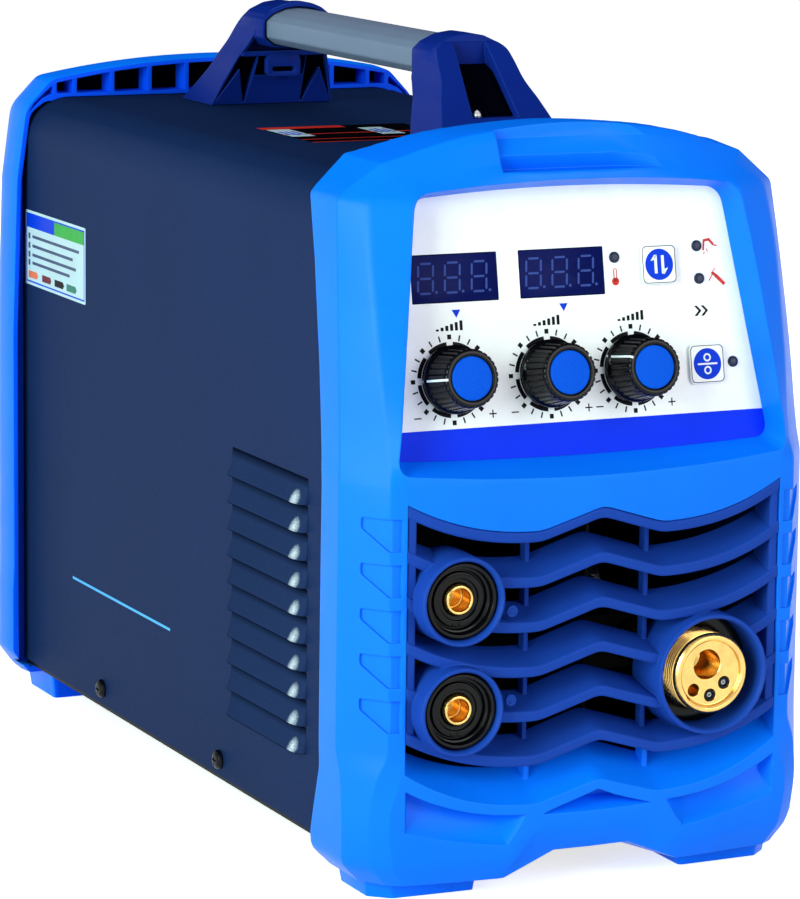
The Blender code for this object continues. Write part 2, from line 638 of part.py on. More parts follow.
def cover():
    outer = u_outline(COVER_HALF, COVER_TOP, COVER_RADIUS, COVER_BOTTOM)
    inner = u_outline(COVER_HALF - SHEET, COVER_TOP - SHEET, COVER_RADIUS - SHEET, COVER_BOTTOM)
    profile = outer + inner[::-1]
    body = prism("cover", profile, "Y", COVER_FRONT, COVER_REAR)
    ahead = [(0, 0), (31.0, 0), (31.0, 165), (47.0, 283), (47.0, 300), (0, 300)]
    tools = [prism("ahead", ahead, "X", -120, 120)]
    for k in range(10):
        z = 153.5 - k * 11.45
        hood = loft("hood", [
            [(-COVER_HALF + 0.6, 142, z + 3.4), (-COVER_HALF + 0.6, 142, z - 4.6),
             (-COVER_HALF + 0.6, 63.5, z - 4.6), (-COVER_HALF + 0.6, 63.5, z + 3.4)],
            [(-COVER_HALF - 2.6, 137, z - 3.2), (-COVER_HALF - 2.6, 137, z - 4.6),
             (-COVER_HALF - 2.6, 66.5, z - 4.6), (-COVER_HALF - 2.6, 66.5, z - 3.2)]])
        combine(body, [hood], "UNION")
        tools.append(prism("mouth", [(-COVER_HALF - 1.9, z - 6.0), (-COVER_HALF - 1.9, z - 3.6),
                                     (-COVER_HALF + 2.5, z + 1.2), (-COVER_HALF + 2.5, z - 6.0)],
                           "Y", 68.5, 135))
    # screw holes and the opening of the wire compartment
    for _, y, z in SCREWS:
        r = SCREW_R + 0.7
        tools.append(lathe("hole", [(0, -120), (r, -120), (r, 120), (0, 120)], (0, y, z), "X", 12))
    tools.append(box("door_hole", (COVER_HALF - 8.2, COVER_HALF + 20), DOOR_Y, DOOR_Z))
    combine(body, tools)
    return finish(body, "cover navy")


def base_and_divider():
    edge = COVER_HALF - SHEET - GAP
    base = box("base_plate", (-edge, edge), (30.0, COVER_REAR), BASE_Z)
    flanges = [box("flange", sorted((s * (edge - 1.5), s * edge)), (34.0, COVER_REAR - 4),
                   (BASE_Z[0] + 0.4, 30.0)) for s in (1, -1)]
    combine(base, flanges, "UNION")
    r = SCREW_R + 0.2
    holes = [lathe("hole", [(0, -120), (r, -120), (r, 120), (0, 120)], (0, y, z), "X", 12)
             for _, y, z in SCREWS]
    combine(base, holes)
    finish(base, "steel")
    foot_z = BASE_Z[1] + GAP
    wall = box("divider", DIVIDER_X, DIVIDER_Y, (foot_z, 270.0))
    foot = box("divider_foot", (DIVIDER_X[0] - 12, DIVIDER_X[1]), DIVIDER_Y,
               (foot_z, foot_z + 1.5))
    finish(combine(wall, [foot], "UNION"), "steel")
    for s, side in ((-1, "left"), (1, "right")):
        for tag, y, z in SCREWS:
            x = COVER_HALF + GAP
            screw = lathe(f"cover_screw_{side}_{tag}",
                          [(0, -10.0), (SCREW_R, -10.0), (SCREW_R, 0), (SCREW_HEAD_R, 0),
                           (SCREW_HEAD_R - 0.2, 1.4), (2.6, 2.3), (0, 2.5)], (0, 0, 0), "X", 12)
            socket = prism("drive", rounded(0, 0, 1.1, 1.1, 0.3, 1), "X", 1.4, 5.0)
            combine(screw, [socket])
            if s < 0:
                place(screw, Matrix.Rotation(math.pi, 4, "Z"))
            place(screw, Matrix.Translation((s * x * MM, y * MM, z * MM)))
            finish(screw, "black plastic", True)


def wire_door():
    y0, y1 = DOOR_Y[0] + DOOR_GAP, DOOR_Y[1] - DOOR_GAP
    z0, z1 = DOOR_Z[0] + DOOR_GAP, DOOR_Z[1] - DOOR_GAP
    x1 = COVER_HALF
    door = box("wire_door", (x1 - SHEET, x1), (y0, y1), (z0, z1))
    lip = box("lip", (x1 - 9.0, x1 - SHEET + 0.2), (y0, y1), (z0, z0 + SHEET))
    lip2 = box("lip", (x1 - 9.0, x1 - SHEET + 0.2), (y0, y1), (z1 - SHEET, z1))
    hinge = lathe("knuckle", [(0, z0 + 20), (3.0, z0 + 20), (3.0, z1 - 20), (0, z1 - 20)],
                  (x1 + 1.2, y1 - 3.0, 0), "Z", 16)
    combine(door, [lip, lip2, hinge], "UNION")
    r, y, z = LATCH_R, LATCH_Y, LATCH_Z
    combine(door, [lathe("latch_hole", [(0, 60), (r + GAP, 60), (r + GAP, 130), (0, 130)],
                         (0, y, z), "X", 16)])
    finish(door, "cover navy")
    latch = lathe("door_latch", [(0, x1 - 8.0), (r, x1 - 8.0), (r, x1 + GAP), (11.0, x1 + GAP),
                                 (11.0, x1 + 2.6), (10.0, x1 + 3.6), (0, x1 + 3.6)],
                  (0, y, z), "X", 20)
    grip = box("grip", (x1 + 3.0, x1 + 9.0), (y - 2.0, y + 2.0), (z - 9, z + 9))
    tongue = box("tongue", (x1 - 7.8, x1 - 5.6), (y - 14.0, y + 1.5), (z - 3, z + 3))
    finish(combine(latch, [grip, tongue], "UNION"), "black plastic", True)


# ------------------------------------------------------------- rear of case
def rear_outline(grow):
    half = [(0.0, 300.0 + grow)]
    half = [(x, arch(x, 300.1, 8.5, 86.7) + grow) for x in (1.0, 30.0, 60.0, 86.7)]
    half += [(99.6 + grow, 278.1 + grow * 0.6), (104.1 + grow, 245.0), (106.3 + grow, 173.0),
             (106.3 + grow, 62.0), (106.9 + grow, 50.0), (106.9 + grow, 20.0),
             (101.0 + grow * 0.5, 12.0 - grow)]
    half[0] = (0.0, half[0][1])
    low = [(98.0, 9.0 - grow), (0.0, 9.0 - grow)]
    ring = half + low
    return ring + [(-x, z) for x, z in reversed(ring[1:-1])]


def rear_seat(grow):
    """Outline of the sheet rear panel and, enlarged, of the seat that holds it."""
    return [(-93 - grow, 15 - grow), (93 + grow, 15 - grow), (93 + grow, 261 + grow),
            (86 + grow, 275 + grow), (-86 - grow, 275 + grow), (-93 - grow, 261 + grow)]


def rear_frame():
    rings = []
    for y, g in ((REAR_LIP_Y, 0.0), (REAR_LIP_Y + 14.0, 0.8), (REAR_Y - 6.0, -5.5),
                 (REAR_Y, -9.0)):
        rings.append([(x, y, z) for x, z in rear_outline(g)])
    body = loft("rear_frame", rings)
    w = REAR_HALF - 2.4
    side = prism("side_gap", [(-w, 13), (w, 13), (w, 60), (w, 173), (w - 2.2, 245),
                              (w - 6.5, 276), (w - 14, 281.6), (-w + 14, 281.6), (-w + 6.5, 276),
                              (-w + 2.2, 245), (-w, 173), (-w, 60)], "Y", 380.0, COVER_REAR + 2)
    seat = prism("seat", rear_seat(GAP), "Y", COVER_REAR + 1, REAR_FACE)
    view = prism("view", rounded(0, 147, 88, 122, 10), "Y", REAR_PANEL_Y - 4, REAR_Y + 16)
    combine(body, [side])
    corner = u_outline(COVER_HALF + GAP, COVER_TOP + GAP, COVER_RADIUS + GAP, 12.0)
    combine(body, [prism("cover_space", corner, "Y", 380.0, COVER_REAR + 1), seat, view])
    combine(body, arch_pockets(380.0, 405.0, 300.1, 8.5, 86.7))
    for s in (1, -1):
        combine(body, [loft("foot", [
            [(s * 47, 382, FLOOR), (s * 88, 382, FLOOR), (s * 88, 416, FLOOR), (s * 47, 416, FLOOR)],
            [(s * 46, 380, 12.0), (s * 90, 380, 12.0), (s * 90, 418, 12.0), (s * 46, 418, 12.0)]])],
            "UNION")
    return finish(body, "frame blue")


def rear_panel():
    y0, y1, y2 = REAR_PANEL_Y, REAR_PANEL_Y + REAR_PANEL_T, REAR_FACE
    panel = prism("rear_panel", rear_seat(0.0), "Y", y0, y1)
    tools = []
    for k in range(-4, 5):
        h = math.sqrt(max(0.0, (FAN_R - 2) ** 2 - (k * 9.0) ** 2))
        if h > 12:
            tools.append(prism("slot", rounded(FAN_X + k * 9.0, FAN_Z, 2.2, h, 2.1, 1),
                               "Y", y0 - 9, y1 + 9))
    w, h = SWITCH_W / 2, SWITCH_H / 2
    tools.append(prism("switch_hole", rounded(SWITCH_X, SWITCH_Z, w - 2.4 + GAP, h - 2.2 + GAP,
                                              1.0, 1), "Y", y0 - 9, y1 + 9))
    for x, z, r in ((GLAND_X, GLAND_Z, GLAND_R + GAP), (NIPPLE_X, NIPPLE_Z, NIPPLE_R + GAP)):
        tools.append(lathe("hole", [(0, y0 - 9), (r, y0 - 9), (r, y1 + 9), (0, y1 + 9)],
                           (x, 0, z), segments=16))
    combine(panel, tools)
    finish(panel, "cover navy")
    switch = prism("switch_body", rounded(SWITCH_X, SWITCH_Z, w, h, 1.5, 2), "Y", y2, y2 + 2.5)
    rear = prism("rear", rounded(SWITCH_X, SWITCH_Z, w - 2.4, h - 2.2, 1.0, 1),
                 "Y", y2 - 21, y2 + 1)
    combine(switch, [rear], "UNION")
    well = prism("well", rounded(SWITCH_X, SWITCH_Z, w - 4.8, h - 4.0, 0.8, 1),
                 "Y", y2 - 13, y2 + 9)
    combine(switch, [well])
    finish(switch, "black plastic")
    half, z = w - 5.3, SWITCH_Z
    rocker = prism("switch_rocker", [(y2 - 7, z - 6.5), (y2 + 0.5, z - 8.0), (y2 + 2.6, z - 8.0),
                                     (y2 + 4.4, z - 6.6), (y2 + 2.5, z), (y2 + 5.2, z + 7.6),
                                     (y2 + 3.5, z + 8.0), (y2 + 0.5, z + 8.0), (y2 - 7, z + 6.5)],
                   "X", SWITCH_X - half, SWITCH_X + half)
    finish(rocker, "rocker red")
    r = GLAND_R
    gland = lathe("cable_gland", [(4.5, y2 - 13), (r, y2 - 13), (r, y2), (r + 3.4, y2),
                                  (r + 3.4, y2 + 5.1), (r + 1.4, y2 + 8.1), (r - 0.6, y2 + 11.1),
                                  (4.5, y2 + 11.1)], (GLAND_X, 0, GLAND_Z))
    finish(gland, "black plastic", True)
    r = NIPPLE_R
    nipple = lathe("gas_nipple", [(2.0, y2 - 15), (r, y2 - 15), (r, y2), (r + 3.0, y2),
                                  (r + 3.0, y2 + 3.6), (r - 0.4, y2 + 4.1), (r + 0.6, y2 + 6.7),
                                  (r - 1.4, y2 + 12.1), (2.0, y2 + 12.1)],
                   (NIPPLE_X, 0, NIPPLE_Z), segments=16)
    finish(nipple, "brass", True)


# -------------------------------------------------------------------- handle
BAR_OUTLINE = [(15.5, 316.5), (15.5, 323.7), (12.0, 326.5), (6.0, 328.7), (0.0, 329.3),
               (-6.0, 328.7), (-12.0, 326.5), (-15.5, 323.7), (-15.5, 316.5), (-11.0, 313.0),
               (11.0, 313.0)]


def grown(outline, by, centre=(0.0, 320.0)):
    pts = []
    for x, z in outline:
        d = math.hypot(x - centre[0], z - centre[1])
        pts.append((x + (x - centre[0]) / d * by, z + (z - centre[1]) / d * by))
    return pts


def handle():
    finish(prism("handle_bar", BAR_OUTLINE, "Y", *BAR_Y), "bar grey")
    z0 = COVER_TOP + GAP
    supports = {
        "handle_support_front": (-1, [(141, z0), (127, 300), (117, 312), (102, 326), (90, 331.5),
                                      (78, 332.6), (76, 326), (76, 313), (84, 310), (93, 307),
                                      (106, z0)]),
        "handle_support_rear": (1, [(141, z0), (121, 297), (112, 309), (104, 318), (90, 326),
                                    (80, 331.2), (77, 332.6), (76, 326), (76, 313), (84, 310),
                                    (93, 307), (106, z0)]),
    }
    for name, (sign, side) in supports.items():
        profile = [(HANDLE_Y + sign * d, z) for d, z in side]
        body = prism(name, profile, "X", -40, 40)
        face = mirrored([(30.4, z0 - 1), (26.5, 295), (22.4, 306), (19.0, 313), (17.8, 320),
                         (16.6, 325.5), (12.0, 329.6), (6.0, 331.6), (1.0, 332.3)])
        combine(body, [prism("face", face, "Y", 60, 400)], "INTERSECT")
        lo, hi = sorted((HANDLE_Y + sign * 60, HANDLE_Y + sign * 92.0))
        combine(body, [prism("bar_seat", grown(BAR_OUTLINE, GAP), "Y", lo, hi)])
        # open pocket on the outward face and cavities on the inward face
        a, b = HANDLE_Y + sign * 150, HANDLE_Y + sign * 103
        combine(body, [loft("pocket", [
            [(-9.6, a, 299.0), (9.6, a, 299.0), (7.5, a, 330.0), (-7.5, a, 330.0)],
            [(-9.0, b, 299.0), (9.0, b, 299.0), (7.2, b, 310.5), (-7.2, b, 310.5)]])])
        a, b = HANDLE_Y + sign * 88, HANDLE_Y + sign * 112
        for s in (1, -1):
            combine(body, [loft("cavity", [
                [(s * 14.0, a, 306.0), (s * 18.0, a, 306.0), (s * 17.0, a, z0 + 2), (s * 15.0, a, z0 + 2)],
                [(s * 12.5, b, 306.0), (s * 18.0, b, 306.0), (s * 17.0, b, z0 + 2), (s * 14.5, b, z0 + 2)]])])
        finish(body, "support blue")


# ---------------------------------------------------------------- internals
def bore(name, r, x, y, z, segments=16):
    """Cylinder along X from x[0] to x[1] through (y, z)."""
    return lathe(name, [(0, x[0]), (r, x[0]), (r, x[1]), (0, x[1])], (0, y, z), "X", segments)


def wire_feed():
    x0, x1 = SPOOL_X
    wall = DIVIDER_X[1] + GAP
    spool = lathe("wire_spool", [(HUB_R + 0.6, x0), (SPOOL_R, x0), (SPOOL_R, x0 + 4), (54.0, x0 + 4),
                                 (54.0, x1 - 4), (SPOOL_R, x1 - 4), (SPOOL_R, x1),
                                 (HUB_R + 0.6, x1)], (0, SPOOL_Y, SPOOL_Z), "X", 32)
    finish(spool, "black plastic", True)
    hub = lathe("spool_hub", [(0, wall), (30.0, wall), (30.0, wall + 4.2), (HUB_R, wall + 8.2),
                              (HUB_R, x1 + 2.0), (14.0, x1 + 2.0), (14.0, x1 + 5.0), (0, x1 + 5.0)],
                (0, SPOOL_Y, SPOOL_Z), "X", 24)
    finish(hub, "bar grey", True)
    plate = box("feed_plate", (wall, 30.0), (68.0, 158.0), (50.0, 146.0))
    block = box("guide", (29.0, 58.0), (62.0, 80.0), (70.0, 93.0))
    combine(plate, [block], "UNION")
    combine(plate, [lathe("tail_bore", [(0, 50), (9.3, 50), (9.3, 90), (0, 90)],
                          (GUN_X, 0, GUN_Z), segments=16),
                    bore("shaft_bore", SHAFT_R + GAP, (10, 40), ROLL_Y, ROLL_Z)])
    finish(plate, "aluminium")
    inside = DIVIDER_X[0] - GAP
    motor = lathe("feed_motor", [(0, -62.0), (24.0, -62.0), (24.0, 18.0), (20.0, inside),
                                 (SHAFT_R, inside), (SHAFT_R, ROLL_X[1] + 2), (0, ROLL_X[1] + 2)],
                  (0, ROLL_Y, ROLL_Z), "X", 24)
    finish(motor, "steel", True)
    combine(bpy.data.objects["divider"],
            [bore("motor_hole", SHAFT_R + GAP, (10, 30), ROLL_Y, ROLL_Z)])
    r, (a, b) = ROLL_R, ROLL_X
    mid = (a + b) / 2
    finish(lathe("drive_roll", [(SHAFT_R + GAP, a), (r, a), (r, mid - 0.8), (r - 0.6, mid),
                                (r, mid + 0.8), (r, b), (SHAFT_R + GAP, b)],
                 (0, ROLL_Y, ROLL_Z), "X", 24), "steel", True)
    finish(lathe("pressure_roll", [(PIVOT_R + GAP, a + 1), (PRESSURE_R, a + 1),
                                   (PRESSURE_R, b - 1), (PIVOT_R + GAP, b - 1)],
                 (0, ROLL_Y, PRESSURE_Z), "X", 24), "steel", True)
    z0, z1 = PRESSURE_Z - ARM_H / 2 + 0.8, PRESSURE_Z + ARM_H / 2 + 0.8
    arm = box("pressure_arm", ARM_X, (PIVOT_Y - 6, TENSION_Y + 7), (z0, z1))
    combine(arm, [bore("axle", PIVOT_R, (ARM_X[1] - 4, b + 4), ROLL_Y, PRESSURE_Z)], "UNION")
    combine(arm, [lathe("screw_hole", [(0, z0 - 9), (TENSION_R + GAP, z0 - 9),
                                       (TENSION_R + GAP, z1 + 9), (0, z1 + 9)],
                        (TENSION_X, TENSION_Y, 0), "Z", 12),
                  bore("pivot_bore", PIVOT_R + GAP, (wall, b), PIVOT_Y, PRESSURE_Z)])
    finish(arm, "aluminium")
    combine(bpy.data.objects["feed_plate"],
            [bore("pivot", PIVOT_R, (25.0, ARM_X[1] + 1.6), PIVOT_Y, PRESSURE_Z)], "UNION")
    knob = lathe("tension_knob", [(0, z0 - 4), (TENSION_R, z0 - 4), (TENSION_R, z1 + GAP),
                                  (8.0, z1 + GAP), (8.0, z1 + 28), (6.5, z1 + 30), (0, z1 + 30)],
                 (TENSION_X, TENSION_Y, 0), "Z", 20)
    finish(knob, "black plastic", True)


def power_side():
    back = REAR_PANEL_Y - GAP
    frame = prism("fan_frame", rounded(FAN_X, FAN_Z, FAN_R + 3, FAN_R + 3, 4.0, 2),
                  "Y", back - 24.4, back)
    combine(frame, [lathe("duct", [(0, 370), (FAN_R, 370), (FAN_R, 420), (0, 420)],
                          (FAN_X, 0, FAN_Z), segments=32)])
    bars = [box("bar", (FAN_X - FAN_R - 1, FAN_X + FAN_R + 1), (back - 4.4, back - 0.4),
                (FAN_Z - 2, FAN_Z + 2))]
    combine(frame, bars, "UNION")
    combine(frame, [lathe("boss", [(0, back - 10.4), (14.0, back - 10.4), (14.0, back - 0.4),
                                   (0, back - 0.4)], (FAN_X, 0, FAN_Z))], "UNION")
    finish(frame, "black plastic")
    lo, hi = back - 22.4, back - 10.4 - GAP
    rotor = lathe("fan_rotor", [(0, lo), (13.0, lo), (13.0, hi), (0, hi)], (FAN_X, 0, FAN_Z))
    blades = []
    for k in range(7):
        blade = loft("blade", [
            [(-3.5, lo + 1, 10.0), (-1.5, lo + 1, 10.0), (4.5, hi - 1, 10.0), (2.5, hi - 1, 10.0)],
            [(-7.5, lo + 1, FAN_R - 2), (-5.5, lo + 1, FAN_R - 2), (7.5, hi - 1, FAN_R - 2),
             (5.5, hi - 1, FAN_R - 2)]])
        place(blade, Matrix.Rotation(2 * math.pi * k / 7, 4, "Y"))
        place(blade, Matrix.Translation((FAN_X * MM, 0, FAN_Z * MM)))
        blades.append(blade)
    combine(rotor, blades, "UNION")
    finish(rotor, "black plastic", True)
    # heat sink: a plate on two side legs, with fins hanging into the air stream
    (x0, x1), (z0, z1), foot = SINK_X, SINK_Z, BASE_Z[1] + GAP
    outline = [(x0, foot), (x0 + 3, foot), (x0 + 3, z1 - 8)]
    for k in range(9):
        x = x0 + 8 + k * (x1 - x0 - 16) / 9
        outline += [(x, z1 - 8), (x, z0), (x + 2.2, z0), (x + 2.2, z1 - 8)]
    outline += [(x1 - 3, z1 - 8), (x1 - 3, foot), (x1, foot), (x1, z1), (x0, z1)]
    finish(prism("heat_sink", outline, "Y", *SINK_Y), "aluminium")
    finish(box("power_board", (x0 - 2, x1 + 2), (90.0, SINK_Y[1] + 10),
               (z1 + GAP, z1 + GAP + 1.6)), "board green")
    core = box("transformer", (x0 + 16, x1 - 15), (200.0, 262.0), (foot, foot + 51))
    coil = box("coil", (x0 + 8, x1 - 7), (214.0, 248.0), (foot + 9, foot + 43))
    finish(combine(core, [coil], "UNION"), "copper varnish")


def main():
    clear_scene()
    front_frame()
    grille_insert()
    sockets()
    control_panel()
    cover()
    base_and_divider()
    wire_door()
    rear_frame()
    rear_panel()
    handle()
    wire_feed()
    power_side()
    shift = Matrix.Translation(Vector(ORIGIN) * MM)
    for obj in bpy.data.objects:
        place(obj, shift)


main()
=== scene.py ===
"""Looks of the portable wire-feed welding machine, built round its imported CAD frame.

Shapes are drawn in millimetres: x = 0 on the centre plane, y = 0 at the front grille and +y towards
the rear, z = 0 three millimetres above the floor.  SHIFT moves them into the frame of the CAD model.
"""
import math

import bmesh
import bpy
import numpy as np
from mathutils import Matrix, Vector


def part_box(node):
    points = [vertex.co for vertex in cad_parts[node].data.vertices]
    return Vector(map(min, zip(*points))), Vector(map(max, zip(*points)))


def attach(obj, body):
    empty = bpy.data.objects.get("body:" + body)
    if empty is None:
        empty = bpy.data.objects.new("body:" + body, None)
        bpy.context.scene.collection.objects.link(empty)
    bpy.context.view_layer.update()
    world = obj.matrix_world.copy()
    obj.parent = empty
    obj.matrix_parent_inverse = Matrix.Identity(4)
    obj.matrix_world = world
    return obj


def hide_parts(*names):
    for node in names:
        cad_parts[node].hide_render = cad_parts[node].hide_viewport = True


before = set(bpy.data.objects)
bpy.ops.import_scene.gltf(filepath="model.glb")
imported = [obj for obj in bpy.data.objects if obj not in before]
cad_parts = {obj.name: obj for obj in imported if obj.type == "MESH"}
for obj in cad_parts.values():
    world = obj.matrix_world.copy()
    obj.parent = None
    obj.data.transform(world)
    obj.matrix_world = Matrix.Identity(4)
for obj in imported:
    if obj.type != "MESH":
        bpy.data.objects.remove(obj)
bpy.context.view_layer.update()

# ------------------------------------------------------------------ dimensions
MM = 0.001
COVER_HALF, COVER_TOP, COVER_BOTTOM = 98.2, 283.0, 15.0
COVER_REAR = 396.0
FLOOR = -3.0
GRILLE_HALF, GRILLE_TOP, PITCH, LOUVRES = 83.4, 158.8, 18.2, 6
PANEL_Y, PANEL_Z, TILT = 14.0, 175.0, math.radians(10.4)
KNOBS_U, KNOB_V = (-56.2, -13.1, 24.9), 29.8
SOCKET_X, SOCKETS_Z, SOCKET_R = -62.6, (120.5, 75.9), 18.0
GUN_X, GUN_Z, GUN_R = 50.0, 81.5, 24.8
REAR_LIP, REAR_Y = 388.0, 424.0
HANDLE_Y = 224.5
CAP_BACK = -0.97                                          # button cap, clear of the film when pressed
HOOD_Y, HOOD_END, HOOD_LIP, HOOD_PITCH, HOODS = 63.5, 142.0, 148.9, 11.45, 10
REAR_ARCH, FRONT_ARCH = (300.1, 8.5, 86.7), (301.2, 9.5, 85.0)   # top, drop and half width
RIB_PITCH = 18.8
SWITCH_X, SWITCH_Z = -38.0, 210.0
FAN_X, FAN_Z, FAN_R = -38.0, 112.0, 42.0
GLAND_X, GLAND_Z, NIPPLE_X, NIPPLE_Z = -38.0, 40.0, 52.0, 60.0
LATCH_Y, LATCH_Z = 94.6, 149.0
SPOOL_FACE, SPOOL_AT, SPOOL_RADIUS = COVER_HALF - 10.2, (272.0, 152.0), 98.0
CAMERA_ANGLES = (-25.2043751, 10.1981010, 0.716639072)     # azimuth, elevation and roll
CAMERA_PLACE, SENSOR, LENS_LENGTH = (-778.951, -1468.900, 473.723), 36.0, 169.831356
WORLD_FILL, FLOOR_GLOW = 0.32, 0.72
CASE = "case"

low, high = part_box("front_frame")
SHIFT = Vector(((low.x + high.x) / 2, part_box("cover")[1].y - COVER_REAR * MM, low.z - FLOOR * MM))
PANEL = (Matrix.Translation((0, PANEL_Y, PANEL_Z)) @ Matrix.Rotation(-TILT, 4, "X"))


# --------------------------------------------------------------------- meshes
def finish_mesh(obj, sharp=35.0):
    """Smooth shading, with edges sharper than the given angle kept crisp."""
    mesh = obj.data
    mesh.polygons.foreach_set("use_smooth", [True] * len(mesh.polygons))
    mesh.set_sharp_from_angle(angle=math.radians(sharp))
    return obj


def build(name, verts, faces, sharp=35.0):
    """Object from millimetre points, welded, with its faces turned outwards."""
    mesh = bpy.data.meshes.new(name)
    mesh.from_pydata([Vector(v) for v in verts], [], faces)
    bm = bmesh.new()
    bm.from_mesh(mesh)
    bmesh.ops.remove_doubles(bm, verts=bm.verts, dist=1e-3)
    bmesh.ops.recalc_face_normals(bm, faces=bm.faces)
    bm.to_mesh(mesh)
    bm.free()
    obj = bpy.data.objects.new(name, mesh)
    bpy.context.scene.collection.objects.link(obj)
    return finish_mesh(obj, sharp)


def move(obj, matrix):
    obj.data.transform(matrix)
    obj.data.update()
    return obj


def settle(obj, material, *replaced, body=CASE, slot=None):
    """Move a millimetre piece into the frame, paint it and attach it to its body."""
    move(obj, Matrix.Translation(SHIFT) @ Matrix.Scale(MM, 4))
    obj.data.materials.clear()
    for one in material if isinstance(material, list) else [material]:
        obj.data.materials.append(one)
    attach(obj, body)
    if replaced:
        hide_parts(*replaced)
    return obj


def loft(name, rings, closed=True, caps=True, sharp=35.0):
    """Skin through rings with the same number of points."""
    n = len(rings[0])
    verts = [p for ring in rings for p in ring]
    faces = []
    for k in range(len(rings) - 1):
        for i in range(n if closed else n - 1):
            j = (i + 1) % n
            faces.append((k * n + i, k * n + j, (k + 1) * n + j, (k + 1) * n + i))
    if caps:
        faces += [tuple(range(n)), tuple(range(len(verts) - n, len(verts)))]
    return build(name, verts, faces, sharp)


def prism(name, outline, axis, lo, hi, sharp=35.0):
    def put(p, t):
        return {"X": (t, *p), "Y": (p[0], t, p[1]), "Z": (*p, t)}[axis]
    return loft(name, [[put(p, lo) for p in outline], [put(p, hi) for p in outline]], sharp=sharp)


def slab(name, x, y, z, radius=0.0):
    """Box with its edges rounded by radius."""
    obj = prism(name, [(x[0], y[0]), (x[1], y[0]), (x[1], y[1]), (x[0], y[1])], "Z", *z)
    return bevel(obj, radius) if radius else obj


def lathe(name, profile, centre=(0, 0, 0), axis="Y", segments=72, sharp=35.0):
    """Turn a closed (radius, offset) profile about an axis."""
    verts, rows = [], []
    for r, t in profile:
        row = []
        for s in range(segments):
            if r < 1e-6 and s:
                row.append(row[0])
                continue
            a = 2 * math.pi * s / segments
            c, d = r * math.cos(a), r * math.sin(a)
            p = {"X": (t, c, d), "Y": (d, t, c), "Z": (c, d, t)}[axis]
            row.append(len(verts))
            verts.append(tuple(p[i] + centre[i] for i in range(3)))
        rows.append(row)
    faces = []
    for k in range(len(profile)):
        a, b = rows[k], rows[(k + 1) % len(profile)]
        for s in range(segments):
            t = (s + 1) % segments
            quad = tuple(dict.fromkeys((a[s], a[t], b[t], b[s])))
            if len(quad) > 2:
                faces.append(quad)
    return build(name, verts, faces, sharp)


def rod(name, radius, lo, hi, centre=(0, 0, 0), axis="Y", segments=72):
    return lathe(name, [(0, lo), (radius, lo), (radius, hi), (0, hi)], centre, axis, segments)


def fillet(points, radii, steps=4, closed=True):
    """Round the corners of an outline of 2-D or 3-D points."""
    pts = [Vector(p) for p in points]
    n = len(pts)
    if not hasattr(radii, "__len__"):
        radii = [radii] * n
    out = []
    for i, p in enumerate(pts):
        if radii[i] <= 0 or (not closed and i in (0, n - 1)):
            out.append(tuple(p))
            continue
        a, b = pts[i - 1] - p, pts[(i + 1) % n] - p
        la, lb = a.length, b.length
        if la < 1e-9 or lb < 1e-9:
            out.append(tuple(p))
            continue
        cosine = max(-0.9999, min(0.9999, a.dot(b) / la / lb))
        half = math.acos(cosine) / 2
        t = min(radii[i] / math.tan(half), 0.48 * la, 0.48 * lb)
        s, e = p + a * (t / la), p + b * (t / lb)
        for k in range(steps + 1):
            u = k / steps
            out.append(tuple(s * (1 - u) ** 2 + p * (2 * u * (1 - u)) + e * u ** 2))
    return out


def rounded(cx, cz, hx, hz, r, steps=6):
    """Rounded rectangle outline."""
    points = []
    for k, (sx, sz) in enumerate(((1, 1), (-1, 1), (-1, -1), (1, -1))):
        for i in range(steps + 1):
            a = math.pi / 2 * (k + i / steps)
            points.append((cx + sx * (hx - r) + r * math.cos(a),
                           cz + sz * (hz - r) + r * math.sin(a)))
    return points


def circle(cx, cz, r, n=48):
    return [(cx + r * math.cos(2 * math.pi * k / n), cz + r * math.sin(2 * math.pi * k / n))
            for k in range(n)]


def evaluated(obj):
    """Bake the modifiers of an object into its mesh."""
    bpy.context.view_layer.update()
    graph = bpy.context.evaluated_depsgraph_get()
    mesh = bpy.data.meshes.new_from_object(obj.evaluated_get(graph))
    obj.modifiers.clear()
    old, obj.data = obj.data, mesh
    bpy.data.meshes.remove(old)
    return obj


def cut(target, tools, mode="DIFFERENCE"):
    """Manifold Booleans, one after another; the tools are used up."""
    for tool in tools:
        mod = target.modifiers.new("cut", "BOOLEAN")
        mod.operation, mod.solver, mod.object = mode, "MANIFOLD", tool
        evaluated(target)
        bpy.data.objects.remove(tool, do_unlink=True)
    return finish_mesh(target)


def bevel(obj, width, segments=3, angle=30.0):
    mod = obj.modifiers.new("edge", "BEVEL")
    mod.width, mod.segments, mod.limit_method = width, segments, "ANGLE"
    mod.angle_limit, mod.harden_normals = math.radians(angle), False
    mod.miter_outer = "MITER_ARC"
    return finish_mesh(evaluated(obj))


def join(name, objects):
    """Several shells as one piece."""
    bm = bmesh.new()
    for obj in objects:
        bm.from_mesh(obj.data)
    mesh = bpy.data.meshes.new(name)
    bm.to_mesh(mesh)
    bm.free()
    for obj in objects:
        bpy.data.objects.remove(obj, do_unlink=True)
    whole = bpy.data.objects.new(name, mesh)
    bpy.context.scene.collection.objects.link(whole)
    return finish_mesh(whole)


